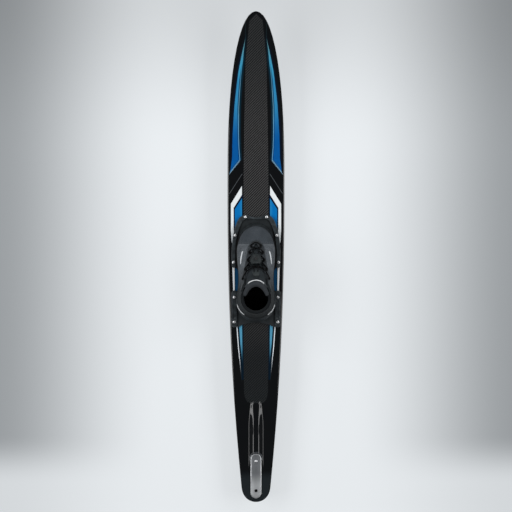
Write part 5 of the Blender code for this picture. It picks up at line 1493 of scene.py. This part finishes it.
# %% Clamp bars
CLAMP_LOW = 0.0041
CLAMP_HIGH = 0.0091
CLAMP_EDGE = 0.0012  # radius of its upper edges
CAP_ANGLES = (86, 75, 62, 48, 33, 16)
EDGE_ANGLES = (22, 45, 68, 90)
FRAME_PATH = (
    (0.0000, 0.1390, 0.0040), (0.0180, 0.1398, 0.0046), (0.0372, 0.1428, 0.0074),
    (0.0515, 0.1350, 0.0078), (0.0605, 0.1185, 0.0076), (0.0670, 0.1000, 0.0074),
    (0.0722, 0.0790, 0.0072), (0.0765, 0.0480, 0.0070), (0.0785, 0.0150, 0.0070),
    (0.0778, -0.0150, 0.0070), (0.0772, -0.0270, 0.0068))


def bar(line, groove=None):
    """A strip with rounded edges and ends along (x, y, half width) points."""
    stops = []
    last = len(line) - 1
    for i, (x, y, half) in enumerate(line):
        point = Vector((x, y))
        before, after = line[max(i - 1, 0)], line[min(i + 1, last)]
        ahead = Vector((after[0] - before[0], after[1] - before[1])).normalized()
        here = [(point, ahead, half)]
        if i in (0, last):
            sign = -1 if i == 0 else 1
            caps = [(point + ahead * sign * half * math.sin(a), ahead, half * math.cos(a))
                    for a in map(math.radians, CAP_ANGLES)]
            here = here + caps[::-1] if i else caps + here
        stops += here
    rings = []
    for point, ahead, half in stops:
        side = Vector((-ahead.y, ahead.x))
        edge = min(CLAMP_EDGE, 0.4 * half)
        corner = [(edge * (1 - math.cos(a)), CLAMP_HIGH - edge * (1 - math.sin(a)))
                  for a in map(math.radians, EDGE_ANGLES)]
        section = [(-half, CLAMP_LOW), (-half, CLAMP_HIGH - edge)]
        section += [(-half + u, z) for u, z in corner]
        if groove:
            rest = groove(point.y) * min(1.0, half / 0.006)
            section += [(-0.0022, CLAMP_HIGH), (-0.0014, CLAMP_HIGH - rest),
                        (0.0014, CLAMP_HIGH - rest), (0.0022, CLAMP_HIGH)]
        else:
            section += [(u * half, CLAMP_HIGH) for u in (-0.3, 0.3)]
        section += [(half - u, z) for u, z in reversed(corner)]
        section += [(half, CLAMP_HIGH - edge), (half, CLAMP_LOW), (-half, CLAMP_LOW)]
        rings.append([Vector((*(point + side * u), z)) for u, z in section])
    return lay(rings, closed=True)


mirrored_path = [(-x, y, half) for x, y, half in reversed(FRAME_PATH)]
frame_line = spline([*mirrored_path, *FRAME_PATH[1:]], 0.003)
piece("front_clamp", bar([tuple(point) for point in frame_line]), clamp_finish,
      ("front_frame",), sharp=50)


def rail_groove(y):
    """Depth of the groove between a rail's two screws."""
    inside_end = min(-0.1485 - y, y + 0.2105) / 0.002
    return 0.0014 * min(1.0, max(0.0, inside_end))


for side, word in SIDES:
    line = [(side * 0.0757, -0.1225 - 0.1085 * i / 72, 0.0100) for i in range(73)]
    piece(f"{word}_clamp_rail", bar(line, rail_groove), clamp_finish,
          (f"{word}_rail",), sharp=50)

# %% [markdown]
# ## Screws
#
# A stainless button-head screw is a turned dome with a hexagonal socket. The profile is spun
# round its axis, and the socket's ring is then pulled out to six corners.


# %% Turned screws
def turned_screw(radius, height, seat, shank_radius, shank_end):
    """A button-head screw standing on the origin."""
    socket = 0.36 * radius
    profile = [
        (0.0, seat + 0.42 * height), (socket * 0.6, seat + 0.45 * height),
        (socket, seat + 0.48 * height), (socket, seat + 0.90 * height),
        (socket * 1.12, seat + height), (0.62 * radius, seat + 0.95 * height),
        (0.80 * radius, seat + 0.80 * height), (0.93 * radius, seat + 0.54 * height),
        (0.99 * radius, seat + 0.28 * height), (radius, seat + 0.10 * height),
        (0.985 * radius, seat), (shank_radius, seat), (shank_radius, shank_end),
        (0.0, shank_end)]
    bm = bmesh.new()
    verts = [bm.verts.new((r, 0.0, z)) for r, z in profile]
    edges = [bm.edges.new(pair) for pair in zip(verts, verts[1:])]
    bmesh.ops.spin(bm, geom=[*verts, *edges], cent=(0, 0, 0), axis=(0, 0, 1),
                   angle=2 * math.pi, steps=48, use_merge=True, use_duplicate=False)
    bmesh.ops.remove_doubles(bm, verts=bm.verts, dist=1e-6)
    for vert in bm.verts:
        spread = math.hypot(vert.co.x, vert.co.y)
        if 1e-6 < spread < socket * 1.05 and vert.co.z > seat:
            angle = math.atan2(vert.co.y, vert.co.x) % (math.pi / 3) - math.pi / 6
            size = 0.92 / math.cos(angle)
            vert.co.x *= size
            vert.co.y *= size
    outward(bm)
    return bm


SCREWS = {
    "toe": (0.0372, 0.1428), "side": (0.0722, 0.0790), "leg": (0.0778, -0.0150),
    "rail_front": (0.0757, -0.1365), "rail_rear": (0.0757, -0.2225)}
for word, (x, y) in SCREWS.items():
    for side, hand in SIDES:
        bm = turned_screw(radius=0.0054, height=0.0032, seat=CLAMP_HIGH + GAP,
                          shank_radius=0.0024, shank_end=-0.0095)
        twist = Matrix.Rotation(0.7 * side + 11 * y, 4, "Z")
        moved(bm, Matrix.Translation((side * x, y, 0)) @ twist)
        piece(f"button_screw_{word}_{hand}", bm, steel_finish,
              (f"screw_{word}_{hand}",), sharp=30)

# %% Rounded copies of the small moulded parts
def rounded_copy(name, made_name, look, width, body):
    """A CAD node's own shape with its edges rounded."""
    bm = copied(name)
    outward(bm)
    edges = [edge for edge in bm.edges
             if len(edge.link_faces) == 2 and edge.calc_face_angle(0) > math.radians(28)]
    bmesh.ops.bevel(bm, geom=edges, offset=width, offset_type="OFFSET", segments=2,
                    profile=0.5, affect="EDGES", clamp_overlap=True, material=-1)
    return piece(made_name, bm, look, (name,), body, sharp=35, lift=0.0)


rounded_copy("lock_housing", "lace_lock_housing", lock_finish, 0.0003, "lace_lock")
rounded_copy("lock_base", "lace_lock_base", lock_finish, 0.0003, "lace_lock")
rounded_copy("lock_button", "lace_lock_button", button_finish, 0.0002,
             "lock_button")
rounded_copy("pull_tab", "rubber_pull_tab", tab_finish, 0.0004, "pull_tab")

# %% [markdown]
# ## The tail: spine, plate and bolts
#
# In front of the fin plate the deck is raised into a spine with two soft ridges, which catch the
# light as thin lines. The CAD model has its form in flat facets. A fine skin is laid over them
# here: its section is two planes blended where they meet, and it follows the deck's own height,
# which is found by casting rays down onto the node. The pocket for the plate is then cut out.

# %% Spine
FIN_Y = -0.759
SPINE_REAR = FIN_Y + 0.017
SPINE_FRONT = FIN_Y + 0.262
spine_foot = smooth((
    (SPINE_REAR, 0.0252), (-0.585, 0.0252), (-0.530, 0.0212), (-0.510, 0.0190),
    (SPINE_FRONT, 0.0160)))
spine_ridge = smooth((
    (SPINE_REAR, 0.0082), (-0.565, 0.0084), (-0.535, 0.0102), (-0.510, 0.0112),
    (SPINE_FRONT, 0.0100)))
spine_drop = smooth((
    (SPINE_REAR, 0.0013), (-0.580, 0.0013), (-0.545, 0.0026), (-0.522, 0.0040),
    (SPINE_FRONT, 0.0026)))
spine_height = smooth((
    (SPINE_REAR, 0.0004), (FIN_Y + 0.083, 0.0048), (FIN_Y + 0.240, 0.0048),
    (SPINE_FRONT, 0.0002)))
BESIDE_SPINE = 0.030  # where the deck's height is taken
SPINE_SHARP = 34


def down_on_deck(x, y):
    """Height of the deck's CAD shape at this point of the plan."""
    hit, found, _, _ = nodes["deck_shell"].ray_cast(Vector((x, y, 0.4)), Vector((0, 0, -1)))
    return found.z if hit else 0.0


def spine_section(y):
    """Half the skin's section from the middle out: (distance from it, height over the deck)."""
    foot, ridge, height = spine_foot(y), spine_ridge(y), spine_height(y)
    drop_width = spine_drop(y)
    drop = min(0.5 * height, 0.445 * drop_width)
    lip = min(0.25 * height, 0.0006)
    wide = foot - 0.0014 - ridge - drop_width
    return [
        (0.0, height), (0.5 * ridge, height), (ridge - 0.0008, height),
        (ridge - 0.0001, height - 0.00001), (ridge + 0.1 * drop_width, height - 0.1 * drop),
        (ridge + 0.5 * drop_width, height - 0.5 * drop),
        (ridge + 0.9 * drop_width, height - 0.9 * drop),
        (ridge + drop_width + 0.0002, height - drop - 0.0001),
        *((ridge + drop_width + wide * k / 5,
           (height - drop) + (lip - height + drop) * k / 5 - 0.0001) for k in range(1, 5)),
        (foot - 0.0016, lip), (foot - 0.0010, 0.7 * lip), (foot - 0.0003, 0.2 * lip),
        (foot, 0.0), (foot + 0.0008, -0.0004)]


rings = []
for y in ramp(SPINE_FRONT, SPINE_REAR, 96):
    deck = down_on_deck(BESIDE_SPINE, y)
    half = spine_section(y)
    outline = [(-x, z) for x, z in reversed(half[1:])] + half
    outline += [(half[-1][0], -0.0012), (-half[-1][0], -0.0012), outline[0]]
    rings.append([Vector((x, y, deck + z)) for x, z in outline])
spine = piece("tail_spine", lay(rings, closed=True), deck_finish,
              sharp=SPINE_SHARP, lift=0.0)

# %% A plate with round ends, and the pocket it lies in
FIN_PLACE = Matrix.Translation((0.0, FIN_Y, 0.075559)) @ Matrix.Rotation(
    math.atan2(-0.029587, 0.999562), 4, "X")
PLATE_HALF = 0.078
PLATE_RADIUS = 0.01865
POCKET_ROOM = 0.0011  # between the plate and the pocket's wall
FIELD_INSET = 0.0034


def round_ended(inset, low, high, edge=0.0):
    """A flat bar with round ends, inside the fin plate's outline by this much."""
    bm = bmesh.new()
    radius = PLATE_RADIUS - inset
    bmesh.ops.create_circle(bm, cap_ends=True, segments=96, radius=radius)
    for vert in bm.verts:
        vert.co.y += math.copysign(PLATE_HALF - PLATE_RADIUS, vert.co.y + 1e-7)
        vert.co.z = low
    grown = bmesh.ops.extrude_face_region(bm, geom=bm.faces[:])
    top = {item for item in grown["geom"] if isinstance(item, bmesh.types.BMVert)}
    bmesh.ops.translate(bm, vec=(0, 0, high - low), verts=list(top))
    outward(bm)
    if edge:
        rim = [item for item in bm.edges if item.verts[0] in top and item.verts[1] in top]
        bmesh.ops.bevel(bm, geom=rim, offset=edge, offset_type="OFFSET", segments=3, profile=0.5,
                        affect="EDGES", clamp_overlap=True, material=-1)
    moved(bm, FIN_PLACE)
    return bm


pocket = linked("pocket", mesh_of(round_ended(-POCKET_ROOM, -0.004, 0.020), "pocket"))
cut = spine.modifiers.new("pocket", "BOOLEAN")
cut.operation = "DIFFERENCE"
cut.solver = "EXACT"
cut.object = pocket
apply_modifiers(spine)
bpy.data.objects.remove(pocket, do_unlink=True)
shade(spine.data, SPINE_SHARP)
print("spine after the cut:", len(spine.data.polygons), "faces")

# %% [markdown]
# The plate is polished round its rim and brushed on its field, so the field is a second, thin
# leaf of metal on top of it. A raised lip is moulded into the spine round the plate's front end.

# %% Fin plate, its field and the lip round its front end
piece("fin_plate", round_ended(0.0, 0.0006, 0.0031, 0.0012), fin_finish,
      ("fin_top_plate",), sharp=30, lift=0.0)
piece("fin_plate_field", round_ended(FIELD_INSET, 0.0027, 0.0032, 0.0002), field_finish,
      sharp=30, lift=0.0)
LIP_RADIUS = 0.0226


def spine_rise(x, y):
    """Height of the spine's skin over the deck at this point of the plan."""
    half = spine_section(max(y, SPINE_REAR))
    inner, outer = max((pair for pair in zip(half, half[1:]) if pair[0][0] <= abs(x)),
                       key=lambda pair: pair[0][0])
    share = (abs(x) - inner[0]) / (outer[0] - inner[0])
    return inner[1] + (outer[1] - inner[1]) * share


line = []
for angle in map(math.radians, ramp(-16, 196, 72)):
    x = LIP_RADIUS * math.cos(angle)
    y = FIN_Y + PLATE_HALF - PLATE_RADIUS + LIP_RADIUS * math.sin(angle)
    line.append(Vector((x, y, down_on_deck(BESIDE_SPINE, y) + spine_rise(x, y))))
cord("spine_lip", line, 0.0011, lip_finish, lift=0.0)

# %% Fin bolts, and the turned ring on the field round the front one
BOLT_Y = 0.051  # from the middle of the plate
RING_RADIUS = 0.0108
for word, sign, look, slot in (("front", 1, steel_finish, "stainless"),
                               ("rear", -1, black_steel_finish, "black_steel")):
    bm = turned_screw(radius=0.0052, height=0.0028, seat=0.0034,
                      shank_radius=0.0029, shank_end=-0.0092)
    moved(bm, FIN_PLACE @ Matrix.Translation((0.0, sign * BOLT_Y, 0.0)))
    piece(f"fin_button_bolt_{word}", bm, look, (f"fin_bolt_{word}",), sharp=30, lift=0.0)
line = [Vector((RING_RADIUS * c, BOLT_Y + RING_RADIUS * s, 0.0031)) for c, s in circle(64)]
bm = lay(cord_rings(line, 0.0004, tip=1.0))
moved(bm, FIN_PLACE)
bmesh.ops.remove_doubles(bm, verts=bm.verts, dist=1e-5)
outward(bm)
piece("turned_ring", bm, field_finish, sharp=60, lift=0.0)

# %% The finish of the nodes that keep their CAD shape
LOOKS = {
    "deck_shell": deck_finish, "base_shell": base_finish, "foam_core": foam_finish,
    "fin_block": fin_finish, "fin_blade": blade_finish,
    "set_screw_front": steel_finish, "set_screw_middle": steel_finish,
    "set_screw_rear": steel_finish, "lock_spring": steel_finish, "pull_tab_pin": black_steel_finish}
LOOKS.update({name: brass_finish for name in nodes if name.startswith("insert_")})
for name, look in LOOKS.items():
    mesh = nodes[name].data
    mesh.materials.clear()
    mesh.materials.append(look)
    shade(mesh, 24 if name.endswith("_shell") else 30)
print("finished CAD nodes:", len(LOOKS))

# %% [markdown]
# ## Floor, light and camera
#
# The ski is shown square on from its deck side, as if it lay on a pale floor with the camera far
# above it. Soft panels light it from both sides and from ahead, and none hangs straight over
# the deck, or its gloss would turn white.

# %% Floor
SEEN_SHARE = 0.70  # of the floor's tone that doesn't depend on the light
FLOOR_HEIGHT = -0.002
floor_finish, w, shader = finish("floor_paper", Roughness=0.95, Specular_IOR_Level=0.1)
x, y, _ = w.parts(w.place())
# Painted shade: the floor is drawn darker toward both sides, less so near the tail's end, and a
# little darker beyond the tip, as light falls off away from the panels.
painted_falloff = w.between(w.sum("ABSOLUTE", x), 0.32, 0.95)
painted_falloff = w.times(painted_falloff, w.between(y, -0.80, -0.62, 0.3, 1.0))
tone = w.mix(painted_falloff, (232, 236, 239), (152, 156, 159))
tone = w.mix(w.between(y, 0.35, 1.0, 0.0, 0.25), tone, (0, 0, 0))
w.feed(shader["Base Color"], w.mix(SEEN_SHARE, tone, (0, 0, 0)))
w.feed(shader["Emission Color"], tone)
rays = w.add("LightPath").node.outputs
seen = w.sum("MAXIMUM", w.sum("MAXIMUM", rays["Is Camera Ray"], rays["Is Glossy Ray"]),
             rays["Is Transmission Ray"])
w.feed(shader["Emission Strength"], w.times(seen, SEEN_SHARE))
bm = bmesh.new()
bmesh.ops.create_grid(bm, x_segments=8, y_segments=8, size=6.0)
floor = linked("floor", mesh_of(bm, "floor"))
floor.data.materials.append(floor_finish)
floor.location = (0.0, 0.0, FLOOR_HEIGHT)
print("floor finish nodes:", len(floor_finish.node_tree.nodes))


# %% Light
def soft_panel(name, place, size, power):
    """A soft rectangle of light that faces the middle of the ski."""
    data = bpy.data.lights.new(name, "AREA")
    data.shape = "RECTANGLE"
    data.size, data.size_y = size
    data.energy = power
    made = linked(name, data)
    made.location = place
    made.rotation_mode = "QUATERNION"
    made.rotation_quaternion = Vector(place).to_track_quat("Z", "Y")
    print(name, power, "W")


soft_panel("left_panel", (-3.4, 0.2, 3.0), (4.2, 2.0), 143)
soft_panel("right_panel", (3.4, 0.2, 3.0), (4.2, 2.0), 127)
soft_panel("top_panel", (0.0, 3.8, 3.0), (3.6, 1.8), 80)
world = bpy.data.worlds.new("studio")
bpy.context.scene.world = world
world.use_nodes = True
background = world.node_tree.nodes["Background"].inputs
background["Color"].default_value = (0.80, 0.82, 0.85, 1.0)
w = Wiring(world.node_tree)
rays = w.add("LightPath").node.outputs
w.feed(background["Strength"], w.sum("MULTIPLY_ADD", rays["Is Camera Ray"], 0.62, 0.12))

# %% Camera
CAMERA_HEIGHT = 6.0  # over the ski's running plane
RUNNING_PLANE = 0.060378
SENSOR = 36.0
PICTURE_MIDDLE = 0.0073  # the place along the ski that the camera is over
PIXELS_PER_FRAME = 512
METRES_PER_PIXEL = 0.003482  # at the deck
deck_distance = CAMERA_HEIGHT + RUNNING_PLANE - DECK_TOP
data = bpy.data.cameras.new("camera")
data.sensor_width = SENSOR
data.lens = SENSOR * deck_distance / (PIXELS_PER_FRAME * METRES_PER_PIXEL)
data.clip_end = 50.0
camera = linked("camera", data)
camera.location = (0.0, PICTURE_MIDDLE, CAMERA_HEIGHT + RUNNING_PLANE)
bpy.context.scene.camera = camera
bpy.context.scene.view_settings.view_transform = "Standard"
print("lens", round(data.lens, 1), "mm")
